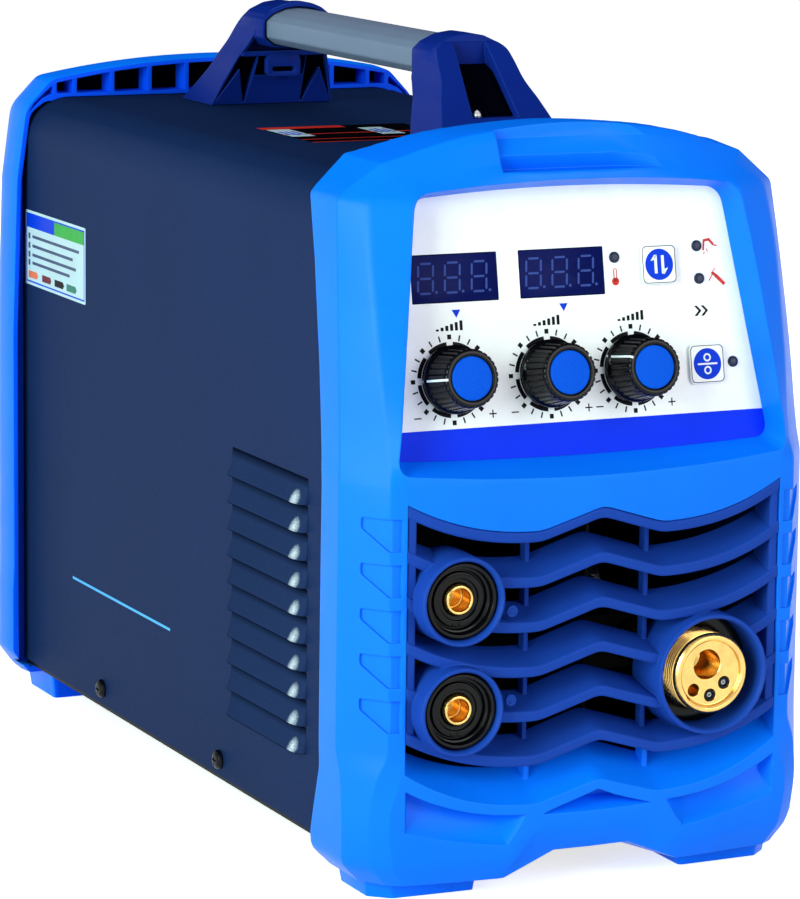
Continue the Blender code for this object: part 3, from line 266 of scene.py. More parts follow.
def pchip(ts, vs, t):
    """Monotone cubic interpolation of the values vs at ts."""
    ts, vs, t = (np.asarray(a, float) for a in (ts, vs, t))
    h, d = np.diff(ts), np.diff(vs) / np.diff(ts)
    m = np.zeros_like(vs)
    m[0], m[-1] = d[0], d[-1]
    for i in range(1, len(vs) - 1):
        if d[i - 1] * d[i] > 0:
            w1, w2 = 2 * h[i] + h[i - 1], h[i] + 2 * h[i - 1]
            m[i] = (w1 + w2) / (w1 / d[i - 1] + w2 / d[i])
    k = np.clip(np.searchsorted(ts, t) - 1, 0, len(h) - 1)
    u = (t - ts[k]) / h[k]
    return ((1 + 2 * u) * (1 - u) ** 2 * vs[k] + u * (1 - u) ** 2 * h[k] * m[k]
            + u * u * (3 - 2 * u) * vs[k + 1] + u * u * (u - 1) * h[k] * m[k + 1])


def mirrored(points):
    """Points of one half followed by their mirror images, as a closed outline."""
    return points + [(-x, *rest) for x, *rest in reversed(points)]


# ------------------------------------------------------------------ materials
class Nodes:
    """Small helper for building a material's node tree."""

    def __init__(self, name):
        self.material = bpy.data.materials.new(name)
        self.material.use_nodes = True
        self.tree = self.material.node_tree
        self.tree.nodes.clear()
        self.out = self.tree.nodes.new("ShaderNodeOutputMaterial")
        self.shader = self.tree.nodes.new("ShaderNodeBsdfPrincipled")
        self.link(self.shader.outputs[0], self.out.inputs[0])

    def link(self, a, b):
        self.tree.links.new(a, b)

    def node(self, kind, **values):
        node = self.tree.nodes.new("ShaderNode" + kind)
        for key, value in values.items():
            if hasattr(node, key):
                setattr(node, key, value)
            else:
                node.inputs[key.replace("_", " ")].default_value = value
        return node

    def coords(self, scale=1.0):
        """Object coordinates in millimetres times scale."""
        tex = self.node("TexCoord")
        mapping = self.node("Mapping")
        mapping.inputs["Scale"].default_value = (1000 * scale,) * 3
        self.link(tex.outputs["Object"], mapping.inputs["Vector"])
        return mapping.outputs[0]

    def noise(self, scale, detail=4.0, rough=0.55, stretch=None):
        """Noise with features of about 1 / scale millimetres."""
        vector = self.coords()
        if stretch:
            mapping = self.node("Mapping")
            mapping.inputs["Scale"].default_value = stretch
            self.link(vector, mapping.inputs["Vector"])
            vector = mapping.outputs[0]
        tex = self.node("TexNoise", Scale=scale, Detail=detail, Roughness=rough)
        self.link(vector, tex.inputs["Vector"])
        return tex.outputs["Fac"]

    def remap(self, value, a, b, lo, hi, clamp=True):
        node = self.node("MapRange", clamp=clamp)
        node.inputs["From Min"].default_value, node.inputs["From Max"].default_value = a, b
        node.inputs["To Min"].default_value, node.inputs["To Max"].default_value = lo, hi
        self.link(value, node.inputs["Value"])
        return node.outputs[0]

    def mix(self, fac, a, b):
        """Mix two colours; each may be a socket or an RGB tuple."""
        node = self.node("Mix")
        node.data_type = "RGBA"
        for value, socket in ((fac, node.inputs[0]), (a, node.inputs[6]), (b, node.inputs[7])):
            if isinstance(value, tuple):
                socket.default_value = (*value, 1.0)
            elif isinstance(value, float):
                socket.default_value = value
            else:
                self.link(value, socket)
        return node.outputs[2]

    def bump(self, height, distance, strength=1.0, normal=None):
        node = self.node("Bump")
        node.inputs["Distance"].default_value = distance * MM
        node.inputs["Strength"].default_value = strength
        self.link(height, node.inputs["Height"])
        if normal is not None:
            self.link(normal, node.inputs["Normal"])
        return node.outputs[0]

    def matt_tops(self, spec):
        """Specular level that fades out on surfaces facing up, as if under fine dust."""
        split = self.node("SeparateXYZ")
        self.link(self.node("NewGeometry").outputs["Normal"], split.inputs[0])
        self.link(self.remap(split.outputs["Z"], 0.25, 0.75, spec, 0.0),
                  self.shader.inputs["Specular IOR Level"])

    def drift(self, scale, colour, low, high):
        """The colour, slowly drifting between two shades."""
        return self.mix(self.remap(self.noise(scale, 3.0), 0.3, 0.7, 0.0, 1.0),
                        scaled(colour, low), scaled(colour, high))

    def finish(self, colour, rough, normal):
        """Connect the colour, the (noise, low, high) of the roughness and the normal."""
        self.link(colour, self.shader.inputs["Base Color"])
        self.link(self.remap(rough[0], 0.3, 0.7, *rough[1:]), self.shader.inputs["Roughness"])
        self.link(normal, self.shader.inputs["Normal"])
        return self.material

    def soft_edges(self, radius):
        node = self.node("Bevel", samples=6)
        node.inputs["Radius"].default_value = radius * MM
        return node.outputs[0]

    def set(self, **values):
        for key, value in values.items():
            self.shader.inputs[key.replace("_", " ")].default_value = value
        return self


def scaled(colour, factor, plus=0.0):
    """A colour made lighter or darker."""
    return tuple(min(1.0, c * factor + plus) for c in colour)


def moulded(name, colour, rough=0.38, edge=0.8, grain=0.010, spec=0.06, edge_highlight=0.0):
    """Injection-moulded plastic: fine grain, slight colour drift, and painted highlight lines along its
    edges.
    """
    m = Nodes(name)
    rub = m.remap(m.noise(0.12, 5.0, 0.7, stretch=(1.0, 1.0, 0.25)), 0.68, 0.82, 0.0, 0.1)
    base = m.mix(rub, m.drift(0.018, colour, 0.95, 1.05), scaled(colour, 1.25, 0.02))
    edges = m.soft_edges(edge)
    # Painted highlight: edges, picked out by the bevelled normal, are lightened towards a pale tint.
    if edge_highlight:
        geometry, dot = m.node("NewGeometry"), m.node("VectorMath", operation="DOT_PRODUCT")
        m.link(edges, dot.inputs[0])
        m.link(geometry.outputs["Normal"], dot.inputs[1])
        rim = m.remap(dot.outputs["Value"], 0.80, 0.99, edge_highlight, 0.0)
        pale = tuple(min(1.0, c * 1.5 + d) for c, d in zip(colour, (0.02, 0.06, 0.14)))
        base = m.mix(rim, base, pale)
    m.matt_tops(spec)
    return m.finish(base, (m.noise(0.08, 4.0), rough - 0.03, rough + 0.04),
                    m.bump(m.noise(1.1, 2.0, 0.6), grain, 0.6, edges))


def hood_shadow_and_highlight(m, base, colour):
    """Painted shadow on the upper part of every hood, below the lip above it, and a pale painted
    highlight spot on its front lower corner.
    """
    split, rise = m.node("SeparateXYZ"), m.node("Math", operation="FRACT")
    m.link(m.coords(), split.inputs[0])
    lip, below, above = HOOD_LIP + SHIFT.z / MM, 20, 2
    m.link(m.remap(split.outputs["Z"], lip - below * HOOD_PITCH, lip + above * HOOD_PITCH, 0.0,
                   float(below + above)), rise.inputs[0])
    # Painted shadow: the upper part of each hood, under the lip above, darkens towards near black.
    base = m.mix(m.remap(rise.outputs[0], 0.58, 0.90, 0.0, 0.95), base, scaled(colour, 0.12))
    # Painted highlight: a pale spot on the front lower part of each hood.
    nose, reach = HOOD_Y + 7.0 + SHIFT.y / MM, 8.0
    spot, span = m.node("CombineXYZ"), m.node("VectorMath", operation="LENGTH")
    m.link(m.remap(split.outputs["Y"], nose - reach, nose + reach, -2.0, 2.0, False),
           spot.inputs["X"])
    m.link(m.remap(rise.outputs[0], 0.0, 1.0, -0.40, 2.5), spot.inputs["Y"])
    m.link(m.remap(m.noise(1.6, 4.0, 0.8), 0.32, 0.68, 0.0, 0.95), spot.inputs["Z"])
    m.link(spot.outputs[0], span.inputs[0])
    return m.mix(m.remap(span.outputs["Value"], 0.25, 1.15, 0.92, 0.0), base, (0.72, 0.76, 0.88))


def powder(name, colour, rough=0.5, spec=0.02, hood_shade_and_glint=False):
    """Powder-coated sheet with a fine sparkle; the hood switch adds a painted highlight on each hood's
    nose and painted shadow on its upper part.
    """
    m = Nodes(name)
    base = m.mix(m.remap(m.noise(1.5, 2.0, 0.6), 0.60, 0.76, 0.0, 0.4),
                 m.drift(0.012, colour, 0.94, 1.06), scaled(colour, 2.4, 0.01))
    m.matt_tops(spec)
    if hood_shade_and_glint:
        base = hood_shadow_and_highlight(m, base, colour)
    return m.finish(base, (m.noise(0.9, 3.0), rough - 0.05, rough + 0.06),
                    m.bump(m.noise(0.9, 2.0, 0.6), 0.012, 0.5, m.soft_edges(0.4)))


def metal(name, colour, rough=0.25):
    """Turned or plated metal with light tarnish."""
    m = Nodes(name)
    stain = m.remap(m.noise(0.15, 5.0, 0.65), 0.45, 0.75, 0.0, 0.6)
    lines = m.noise(1.4, 3.0, 0.6, stretch=(1.0, 1.0, 1.0))
    m.set(Metallic=1.0)
    return m.finish(m.mix(stain, colour, scaled(colour, 0.6)), (lines, rough - 0.07, rough + 0.1),
                    m.bump(lines, 0.01, 0.7, m.soft_edges(0.25)))


def printed(name, colour, rough=0.42, spec=0.15):
    """Printed ink or label film."""
    m = Nodes(name)
    m.matt_tops(spec)
    return m.finish(m.drift(0.05, colour, 0.95, 1.03), (m.noise(0.3, 3.0), rough - 0.04, rough + 0.05),
                    m.bump(m.noise(1.2, 2.0), 0.006, 0.5))


# The last number of each azure, indigo and navy moulding sets its painted edge highlight.
AZURE = moulded("azure_moulding", (0.002, 0.162, 0.90), 0.34, 0.9, 0.008, 0.09, 0.25)
# Darker, shaded copy of the azure: painted shade for rear-frame faces that get little light.
AZURE_SHADED = moulded("azure_painted_shade", (0.001, 0.070, 0.86), 0.4, 0.5, 0.008, 0.04, 0.1)
INDIGO = moulded("indigo_moulding", (0.010, 0.050, 0.34), 0.42, 0.6, spec=0.05, edge_highlight=0.6)
NAVY = moulded("navy_moulding", (0.0035, 0.017, 0.19), 0.42, 0.8, spec=0.04, edge_highlight=0.4)
# Near-black painted shade, for pieces set in pockets, cavities and under the louvre lips.
SHADE_BLACK = moulded("painted_shade_black", (0.0006, 0.0008, 0.003), 0.8, 0.3, spec=0.0)
COVER = powder("navy_powder", (0.0070, 0.0185, 0.071))
# Hood material: a lighter, lit copy of the cover colour, with painted shadow under each lip and painted
# highlights on the noses.
LOUVRE = powder("navy_powder_painted_light", (0.0140, 0.0265, 0.083), 0.5, 0.0, True)
BLACK = moulded("black_moulding", (0.003, 0.003, 0.005), 0.30, 0.4, spec=0.14)
GLOSS = moulded("black_gloss", (0.002, 0.002, 0.003), 0.14, 0.4, 0.003, 0.16)
BRASS = metal("turned_brass", (0.80, 0.50, 0.16), 0.20)
STEEL = metal("plated_steel", (0.50, 0.51, 0.53), 0.30)
# The last number sets the painted highlight along the bar's edges.
BAR = moulded("satin_bar", (0.145, 0.180, 0.275), 0.38, 0.7, spec=0.06, edge_highlight=0.35)
ALLOY = metal("cast_alloy", (0.55, 0.56, 0.58), 0.4)
LABEL = printed("label_white", (0.93, 0.93, 0.94), 0.36, 0.1)
BAND = printed("label_blue", (0.001, 0.032, 0.75), 0.4, 0.05)
INK_BLUE = printed("ink_blue", (0.001, 0.04, 0.60), 0.4, 0.05)
INK_BLACK = printed("ink_black", (0.002, 0.002, 0.004), 0.4, 0.05)
INK_RED = printed("ink_red", (0.62, 0.03, 0.02))
INK_WHITE = printed("ink_white", (0.80, 0.82, 0.86))
INK_SKY = printed("ink_sky", (0.05, 0.36, 0.80))
INK_GREEN = printed("ink_green", (0.02, 0.30, 0.04))
INK_GREY = printed("ink_grey", (0.06, 0.08, 0.16), 0.4, 0.05)
INK_PEACH = printed("ink_peach", (0.72, 0.16, 0.08))
INK_MAROON = printed("ink_maroon", (0.12, 0.005, 0.02))
INK_TEAL = printed("ink_teal", (0.01, 0.15, 0.11))
WINDOW = printed("display_window", (0.0015, 0.005, 0.075), 0.2, 0.03)
SEGMENT = printed("display_segment", (0.035, 0.065, 0.28), 0.3, 0.03)
LENS = printed("lamp_lens", (0.015, 0.020, 0.05), 0.12)
BOARD = moulded("board_green", (0.01, 0.12, 0.05), 0.4, 0.2)
VARNISH = moulded("coil_varnish", (0.28, 0.09, 0.035), 0.35, 0.4)
ROCKER = moulded("rocker_red", (0.45, 0.02, 0.02), 0.25, 0.4)
CAP = powder("cap_fleck", (0.002, 0.080, 0.62), 0.4)
STICKER = printed("sticker_film", (0.46, 0.58, 0.67), 0.4, 0.05)
WIRE = metal("copper_wire", (0.72, 0.33, 0.16), 0.3)
ANODISED = moulded("black_anodised", (0.006, 0.006, 0.008), 0.5, 0.3, spec=0.1)

PAINT = (
    (AZURE, "front_frame rear_frame"),
    (INDIGO, "grille_insert"),
    (NAVY, "handle_support_front handle_support_rear"),
    (COVER, "cover wire_door rear_panel"),
    (ANODISED, "base_plate divider heat_sink feed_plate feed_motor"),
    (BAR, "handle_bar spool_hub"),
    (LABEL, "control_panel mode_button feed_button"),
    (WINDOW, "display_left display_right"),
    (BRASS, "gas_nipple gun_socket_body socket_contact_negative socket_contact_positive"),
    (STEEL, "gun_socket_pin_lower gun_socket_pin_upper drive_roll pressure_roll"),
    (STEEL, "potentiometer_1 potentiometer_2 potentiometer_3"),
    (GLOSS, "socket_insulator_negative socket_insulator_positive gun_socket_insulator"),
    (CAP, "knob_cap_1 knob_cap_2 knob_cap_3"),
    (LENS, "lamp_feed lamp_heat lamp_rod lamp_wire"),
    (ALLOY, "pressure_arm"),
    (BOARD, "power_board"),
    (VARNISH, "transformer"),
    (ROCKER, "switch_rocker"),
)
PAINTED = {node: material for material, nodes in PAINT for node in nodes.split()}
for name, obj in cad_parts.items():
    obj.data.materials.clear()
    obj.data.materials.append(PAINTED.get(name, BLACK))


# --------------------------------------------------------------- front frame
# (z, rear x, ridge x, ridge y, soft x, soft y, strip x, strip y, inner x, inner y)
SIDE_ROWS = [
    (4.0, 95.0, 95.0, 19.0, 88.0, 8.0, 82.0, 4.0, 40.0, -0.5),
    (14.0, 104.0, 103.0, 17.5, 95.0, 6.5, 88.0, 1.5, 45.0, -3.6),
    (31.0, 104.8, 103.5, 16.5, 97.0, 5.0, 90.0, 0.6, 45.0, -3.8),
    (47.7, 104.8, 103.8, 17.5, 95.1, 3.3, 86.0, 0.0, 45.0, -3.8),
    (60.0, 104.8, 104.8, 19.8, 90.7, 1.2, 83.4, 0.0, 45.0, -3.8),
    (165.0, 104.8, 104.4, 20.2, 90.7, 1.6, 84.0, 0.2, 45.0, -3.8),
    (175.0, 104.4, 103.5, 21.9, 89.6, 4.4, 86.2, 1.4, 45.0, -1.8),
    (210.0, 103.2, 101.9, 26.9, 91.0, 12.2, 82.6, 7.4, 45.0, 4.4),
    (250.0, 101.0, 99.7, 34.1, 91.2, 21.6, 77.2, 15.0, 45.0, 12.6),
    (276.0, 99.4, 98.0, 39.5, 89.0, 29.0, 74.0, 21.5, 45.0, 18.0),
]
TOP_ROWS = [
    [(86.0, 80.0, 291.4), (80.6, 35.7, 289.3), (76.0, 31.5, 285.5),
     (68.0, 25.0, 281.0), (45.0, 20.5, 280.0), (0.0, 19.0, 280.5)],
    [(43.0, 80.0, 298.6), (42.0, 31.5, 300.0), (40.0, 29.0, 297.0),
     (37.0, 24.5, 288.0), (34.0, 22.0, 285.0), (0.0, 19.6, 284.0)],
    [(0.0, 80.0, 301.0), (0.0, 30.0, 303.6), (0.0, 28.0, 300.5),
     (0.0, 24.0, 290.0), (0.0, 22.0, 287.0), (0.0, 19.9, 285.0)],
]


def smooth_between(points, ts, samples):
    """Monotone curve through points at parameters ts, read at samples."""
    columns = [pchip(ts, [p[i] for p in points], samples) for i in range(3)]
    return list(zip(*columns))


def spread(keys, extra):
    """Key parameters with extra samples between neighbours."""
    out = []
    for a, b in zip(keys, keys[1:]):
        out += [a + (b - a) * k / (extra + 1) for k in range(extra + 1)]
    return out + [keys[-1]]


def frame_rows():
    """Sections of the front frame from the lower right corner over the top to the lower left."""
    side = [[(rx, 80.0, z), (ex, ey, z), (sx, sy, z), (tx, ty, z), (ix, iy, z), (0.0, iy - 1.7, z)]
            for z, rx, ex, ey, sx, sy, tx, ty, ix, iy in SIDE_ROWS]
    top = TOP_ROWS + [[(-x, y, z) for x, y, z in row] for row in TOP_ROWS[-2::-1]]
    left = [[(-x, y, z) for x, y, z in row] for row in side[::-1]]
    heights = [row[0][2] for row in side]
    columns = []
    for c in range(6):
        up = smooth_between([r[c] for r in side], heights, spread(heights, 3))
        over = smooth_between([r[c] for r in top], [0, 1, 2, 3, 4], spread([0, 1, 2, 3, 4], 5))
        down = smooth_between([r[c] for r in left], [-z for z in heights[::-1]],
                              spread([-z for z in heights[::-1]], 3))
        path = up + over + down
        radii = [0.0] * len(path)
        for corner in (len(up) - 1, len(up), len(up) + len(over) - 1, len(up) + len(over)):
            radii[corner] = (3.0, 4.0, 8.0, 12.0, 14.0, 14.0)[c]
        columns.append(fillet(path, radii, 4, closed=False))
    return [list(row) for row in zip(*columns)]


def frame_section(row):
    """One filleted section, from the rear edge to the centre plane."""
    p0, p1, p2, p3, p4, p5 = (Vector(p) for p in row)
    mirror = [Vector((-p.x, p.y, p.z)) for p in (p4, p3)]
    chain = [p3, p4, p5] + (mirror if abs(p3.x) > 1 else [p5 * 2 - p4, p5 * 2 - p3])
    ts = [0.0]
    for a, b in zip(chain, chain[1:]):
        ts.append(ts[-1] + max((b - a).length, 1e-3))
    inner = smooth_between(chain, ts, [ts[2] * k / 12 for k in range(1, 13)])
    z = p2.z
    soft = 1.5 if z < 160 else min(9.0, 1.5 + (z - 160) * 0.35)
    pts = [tuple(p0), tuple(p1), tuple(p2), tuple(p3)] + inner
    return fillet(pts, [0, 1.6, soft, 1.2] + [0] * 12, 4, closed=False)


def frame_shell():
    rows = [frame_section(row) for row in frame_rows()]
    verts, n = [p for row in rows for p in row], len(rows[0])
    faces = []
    for r in range(len(rows) - 1):
        for c in range(n - 1):
            a = r * n + c
            faces.append((a, a + 1, a + n + 1, a + n))
    last = (len(rows) - 1) * n
    faces.append([r * n for r in range(len(rows))])
    faces.append(list(range(n)) + [last + c for c in reversed(range(n))])
    return build("front_frame_body", verts, faces)


def zigzag(x, ends=13.3, peak=8.4):
    """Height of the louvre line relative to its outer ends, with soft folds."""
    total = 0.0
    for k in range(-4, 5):
        a = abs(x + k * 0.75)
        if a <= 27:
            total += -ends + peak * (1 - a / 27)
        else:
            total += -ends * (1 - ((a - 27) / (GRILLE_HALF - 27)) ** 2.3)
    return total / 9


def bow(x):
    """Forward bow of the front at a distance x from the centre."""
    return -5.5 * max(0.0, 1 - (x / GRILLE_HALF) ** 2)


ZIG_X = [GRILLE_HALF * k / 48 for k in range(-48, 49)]


def blade_low(x):
    """Lower edge of the bumper blade."""
    return 30.3 + 15.7 * (max(0.0, x - 27) / 60.6) ** 2.3


def label_y(z):
    return PANEL_Y + (z - PANEL_Z) * math.tan(TILT)


def window_outline(grow, y_of, steps=8):
    """Outline of the control window, enlarged by grow, as 3-D points."""
    corners = [(-85.0, 173.8, 7), (85.0, 173.8, 7), (69.5, 275.5, 8), (-69.5, 275.5, 8)]
    raw = []
    for i, (x, z, r) in enumerate(corners):
        here = Vector((x, z))
        a = (Vector(corners[i - 1][:2]) - here).normalized() * r
        b = (Vector(corners[(i + 1) % 4][:2]) - here).normalized() * r
        for k in range(steps + 1):
            t = k / steps
            raw.append(here + a * (1 - t) ** 2 + b * t ** 2)
        end = Vector(corners[(i + 1) % 4][:2]) - b.normalized() * corners[(i + 1) % 4][2]
        start = here + b
        for k in range(1, 12):
            p = start.lerp(end, k / 12)
            p.y += {0: -1.9, 2: 2.4}.get(i, 0.0) * 4 * (k / 12) * (1 - k / 12)
            raw.append(p)
    pts = []
    for p in raw:
        dx, dz = abs(p.x), p.y - 224
        x = p.x + grow * (1 if p.x > 0 else -1) * min(1, dx / 40)
        z = p.y + grow * (1 if dz > 0 else -1) * min(1, abs(dz) / 30) * 1.35
        pts.append((x, y_of(z), z))
    return pts


def arch(x, top, drop, half):
    return top - drop * (x / half) ** 2


def arch_pockets():
    """Row of pockets between the inner rim and the outer arch of the front frame."""
    low, tools = COVER_TOP + 2.7, []
    for k in range(-4, 4):
        x0, x1 = k * RIB_PITCH + 1.2, (k + 1) * RIB_PITCH - 1.2
        ends = [arch(x, *FRONT_ARCH) - 3.2 for x in (x0, x1)]
        outline = fillet([(x0, low), (x1, low), (x1, ends[1]), (x0, ends[0])], 1.2, 3)
        tools.append(prism("rib_gap", outline, "Y", 46.0, 90.0))
    return tools


def leg_cutters():
    """Pockets beside the legs, the space between the legs and the notches of the side strips."""
    tools = []
    for s in (1, -1):
        mouth = [(x, blade_low(x)) for x in (34.7, 40, 47, 55, 63, 72, 78, 84)]
        mouth += [(84, 25.0), (41, 21.5)]
        depth = [(43, 31.8), (45, 32.3), (49, 33.2), (56, 34.6), (63, 36.4), (71, 39.0),
                 (75, 40.8), (80, 43.0), (80, 35.6), (45, 31.7)]
        tools.append(loft("pocket", [
            [(s * (x + (x - dx) * 0.8), -9.0, z + (z - dz) * 0.8 * (z < 30))
             for (x, z), (dx, dz) in zip(mouth, depth)],
            [(s * x, -1.0, z) for x, z in mouth],
            [(s * x, 6.0, z) for x, z in depth]]))
    for k in range(1, LOUVRES):
        high = GRILLE_TOP - (k - 1) * PITCH - 5.3
        low = high - 12.9
        for s in (1, -1):
            rings = []
            for off in (1.6, -1.4):
                corners = [(-1.0, high), (13.2, high), (13.2, high - 4.5), (0.6, low), (-1.0, low)]
                rings.append([(s * (90.7 + 0.605 * t + 0.798 * off),
                               1.2 + 0.798 * t - 0.605 * off, z)
                              for t, z in fillet(corners, [0, 1.0, 2.0, 2.0, 0], 3)])
            tools.append(loft("notch", rings))
            tools.append(prism("strip_gap", [(s * 85.6, low), (s * 85.6, high), (s * 91.2, high),
                                             (s * 91.2, low)], "Y", -3.0, 1.9))
    under = []
    for y, foot, rim, mid in ((-12.0, (41, 3.7), (28.9, 34.0), 33.0),
                              (-5.5, (41, 3.7), (28.9, 24.0), 22.3),
                              (0.0, (42.3, 2.7), (17, 13.2), 13.0),
                              (8.0, (46.7, 0.0), (17, 11.0), 11.0),
                              (90.0, (46.7, 0.0), (17, 11.0), 11.0)):
        under.append([(p[0], y, p[1]) for p in
                      [(0, -9), (foot[0], -9), foot, rim, (0, mid), (-rim[0], rim[1]),
                       (-foot[0], foot[1]), (-foot[0], -9)]])
    tools.append(loft("under", under))
    tools.append(loft("middle", [
        [(-26, -9, 27.5), (26, -9, 27.5), (0, -9, 38.2)],
        [(-24.9, -4.0, 30.2), (24.9, -4.0, 30.2), (0, -4.0, 38.2)],
        [(-12, 4, 33.5), (12, 4, 33.5), (0, 4, 37.0)]]))
    return tools


def front_frame():
    body = frame_shell()
    behind = [(46.3, -9.0), (46.3, 18.0), (37.5, 47.0), (36.4, 60.0), (36.4, 165.0),
              (38.5, 175.0), (44.5, 210.0), (54.5, 250.0), (63.0, 276.0), (64.0, 310.0),
              (90.0, 310.0), (90.0, -9.0)]
    behind = fillet(behind, [0, 6, 10, 12, 20, 30, 60, 60, 20, 0, 0, 0], 6)
    window = loft("window", [window_outline(7.3, lambda z: label_y(z) - 33.0),
                             window_outline(0.0, label_y)])
    seat = loft("seat", [window_outline(2.3, lambda z: label_y(z) - 0.02),
                         window_outline(2.3, lambda z: label_y(z) + 12.0)])
    top = [(x, GRILLE_TOP + 0.3 + zigzag(x)) for x in ZIG_X]
    rings = []
    for y in (-20.0, 60.0):
        low = [(x, 50.6 + zigzag(x, 16.3, 8.2) + 0.70 * (y - bow(x))) for x in ZIG_X]
        rings.append([(max(-83.7, min(83.7, x * 1.0037)), y, z) for x, z in low + top[::-1]])
    grille = loft("grille_hole", rings)
    # hollow behind the front wall, following the cover
    w = COVER_HALF + 0.3
    inner = [(-w, 9), (w, 9), (w, 262)]
    inner += rounded(0, COVER_TOP + 0.3 - 150, w, 150, 20.3, 8)[:18] + [(-w, 262)]
    hollow = prism("hollow", inner, "Y", 20.0, 100.0)
    back = prism("back", [(29.5, 0), (29.5, 165), (45.5, 283), (45.5, 320), (100, 320),
                          (100, 0)], "X", -130, 130)
    front = prism("hollow_front", mirrored([(92, 10), (92, 165), (88, 200), (83, 250), (77, 274),
                                            (70, 280)]), "Y", 5.0, 61.0)
    slant = prism("slant", [(13, 5), (13, 164), (18.4, 173), (39.2, 285), (62, 290), (62, 5)],
                  "X", -130, 130)
    cut(hollow, [back], "INTERSECT")
    cut(front, [slant], "INTERSECT")
    deep = ((12, 310), (12, 285.3), (30.5, 285.3), (27.5, 291.5), (33.0, 297.8), (33.0, 310))
    shut = ((12, 310), (12, 285.3), (22.5, 285.3), (24.0, 289.5), (27.0, 297.8), (27.0, 310))
    grip = [[(x, y, z) for y, z in line] for x, line in ((-33.5, deep), (18.5, deep), (38.0, shut))]
    tools = [prism("behind", behind, "X", -120, 120), window, seat, grille, hollow, front]
    tools += leg_cutters() + [loft("grip", grip)] + arch_pockets()
    cut(body, tools)
    extra = []
    for s in (1, -1):
        foot = loft("foot", [
            [(s * x, y, FLOOR) for x, y in fillet([(47, 11), (83, 12), (91, 19), (91, 45),
                                                   (47, 45)], 2.0, 3)],
            [(s * x, y, 8.5) for x, y in fillet([(46, 9), (84, 10), (93, 18), (93, 46),
                                                 (46, 46)], 2.0, 3)]])
        pin = slab("pin", sorted((s * 25.9, s * 28.1)), (6.0, 12.0), (32.0, 49.5))
        extra += [foot, pin]
    cut(body, extra, "UNION")
    return body


frame_piece = settle(front_frame(), AZURE, "front_frame")
frame_piece.name = "front_frame_body"


# ------------------------------------------------------------- grille insert
def blade(k):
    """One louvre: a zigzag shelf with rounded front edges that rises towards the rear."""
    z0, rings = GRILLE_TOP - k * PITCH, []
    for x in ZIG_X:
        z, y, a = z0 + zigzag(x), bow(x), abs(x)
        thick = 5.2 - 0.7 * (1 - (a - 27) / 57 if a > 27 else 1)
        rise = 0.0 if k == 0 else 5.0
        ring = fillet([(y, z), (y + 0.25, z - thick), (13.6, z - thick + 4.0), (13.6, z + rise)],
                      [0.9, 1.1, 0, 0], 4)
        rings.append([(x, p, q) for p, q in ring])
    return loft("blade", rings, sharp=30)


def grille_insert():
    parts = [blade(k) for k in range(LOUVRES)]
    body = parts.pop(0)
    for s in (1, -1):
        parts.append(slab("post", sorted((s * 79.6, s * 83.2)), (0.6, 13.1), (64.4, 157.1), 0.5))
        parts.append(slab("pin", sorted((s * 26.0, s * 28.0)), (8.3, 13.2), (53.3, 145.2), 0.4))
    holes = []
    for x, z, r in [(SOCKET_X, z, SOCKET_R) for z in SOCKETS_Z] + [(GUN_X, GUN_Z, GUN_R)]:
        profile = fillet([(0, -8.5), (r, -8.5), (r + 0.5, 14), (0, 14)], [0, 1.0, 0, 0], 5)
        parts.append(lathe("ring", profile, (x, 0, z), segments=96))
        mouth = fillet([(0, -20), (r, -20), (r - 1.1, -8.6), (r - 2.0, -7.4), (r - 2.0, 11.6),
                        (r * 0.62, 11.6), (r * 0.62, 20), (0, 20)], [0, 0, 0.9, 0.9, 0, 0, 0, 0], 4)
        holes.append(lathe("bore", mouth, (x, 0, z), segments=96))
    cut(body, parts, "UNION")
    cut(body, holes)
    return body


def polarity_marks():
    """Small raised discs with a minus and a plus beside the two cable sockets."""
    parts = []
    for z, plus in ((114.3, False), (78.1, True)):
        x, y = -39.7, bow(39.7)
        ring = fillet([(1.75, 0.9), (1.75, -0.55), (2.35, -0.55), (2.35, 0.9)], 0.2, 3)
        parts.append(lathe("mark_ring", ring, (x, y, z), segments=40))
        parts.append(lathe("mark_disc", [(0, 0.9), (1.8, 0.9), (1.8, -0.15), (0, -0.15)],
                           (x, y, z), segments=40))
        bars = [(1.25, 0.26)] + ([(0.26, 1.25)] if plus else [])
        for a, b in bars:
            parts.append(slab("mark_bar", (x - a, x + a), (y - 0.5, y), (z - b, z + b), 0.12))
    return join("polarity_marks", parts)


louvres = settle(grille_insert(), INDIGO, "grille_insert")
louvres.name = "grille_louvres"
settle(polarity_marks(), INDIGO, slot="grille_insert")


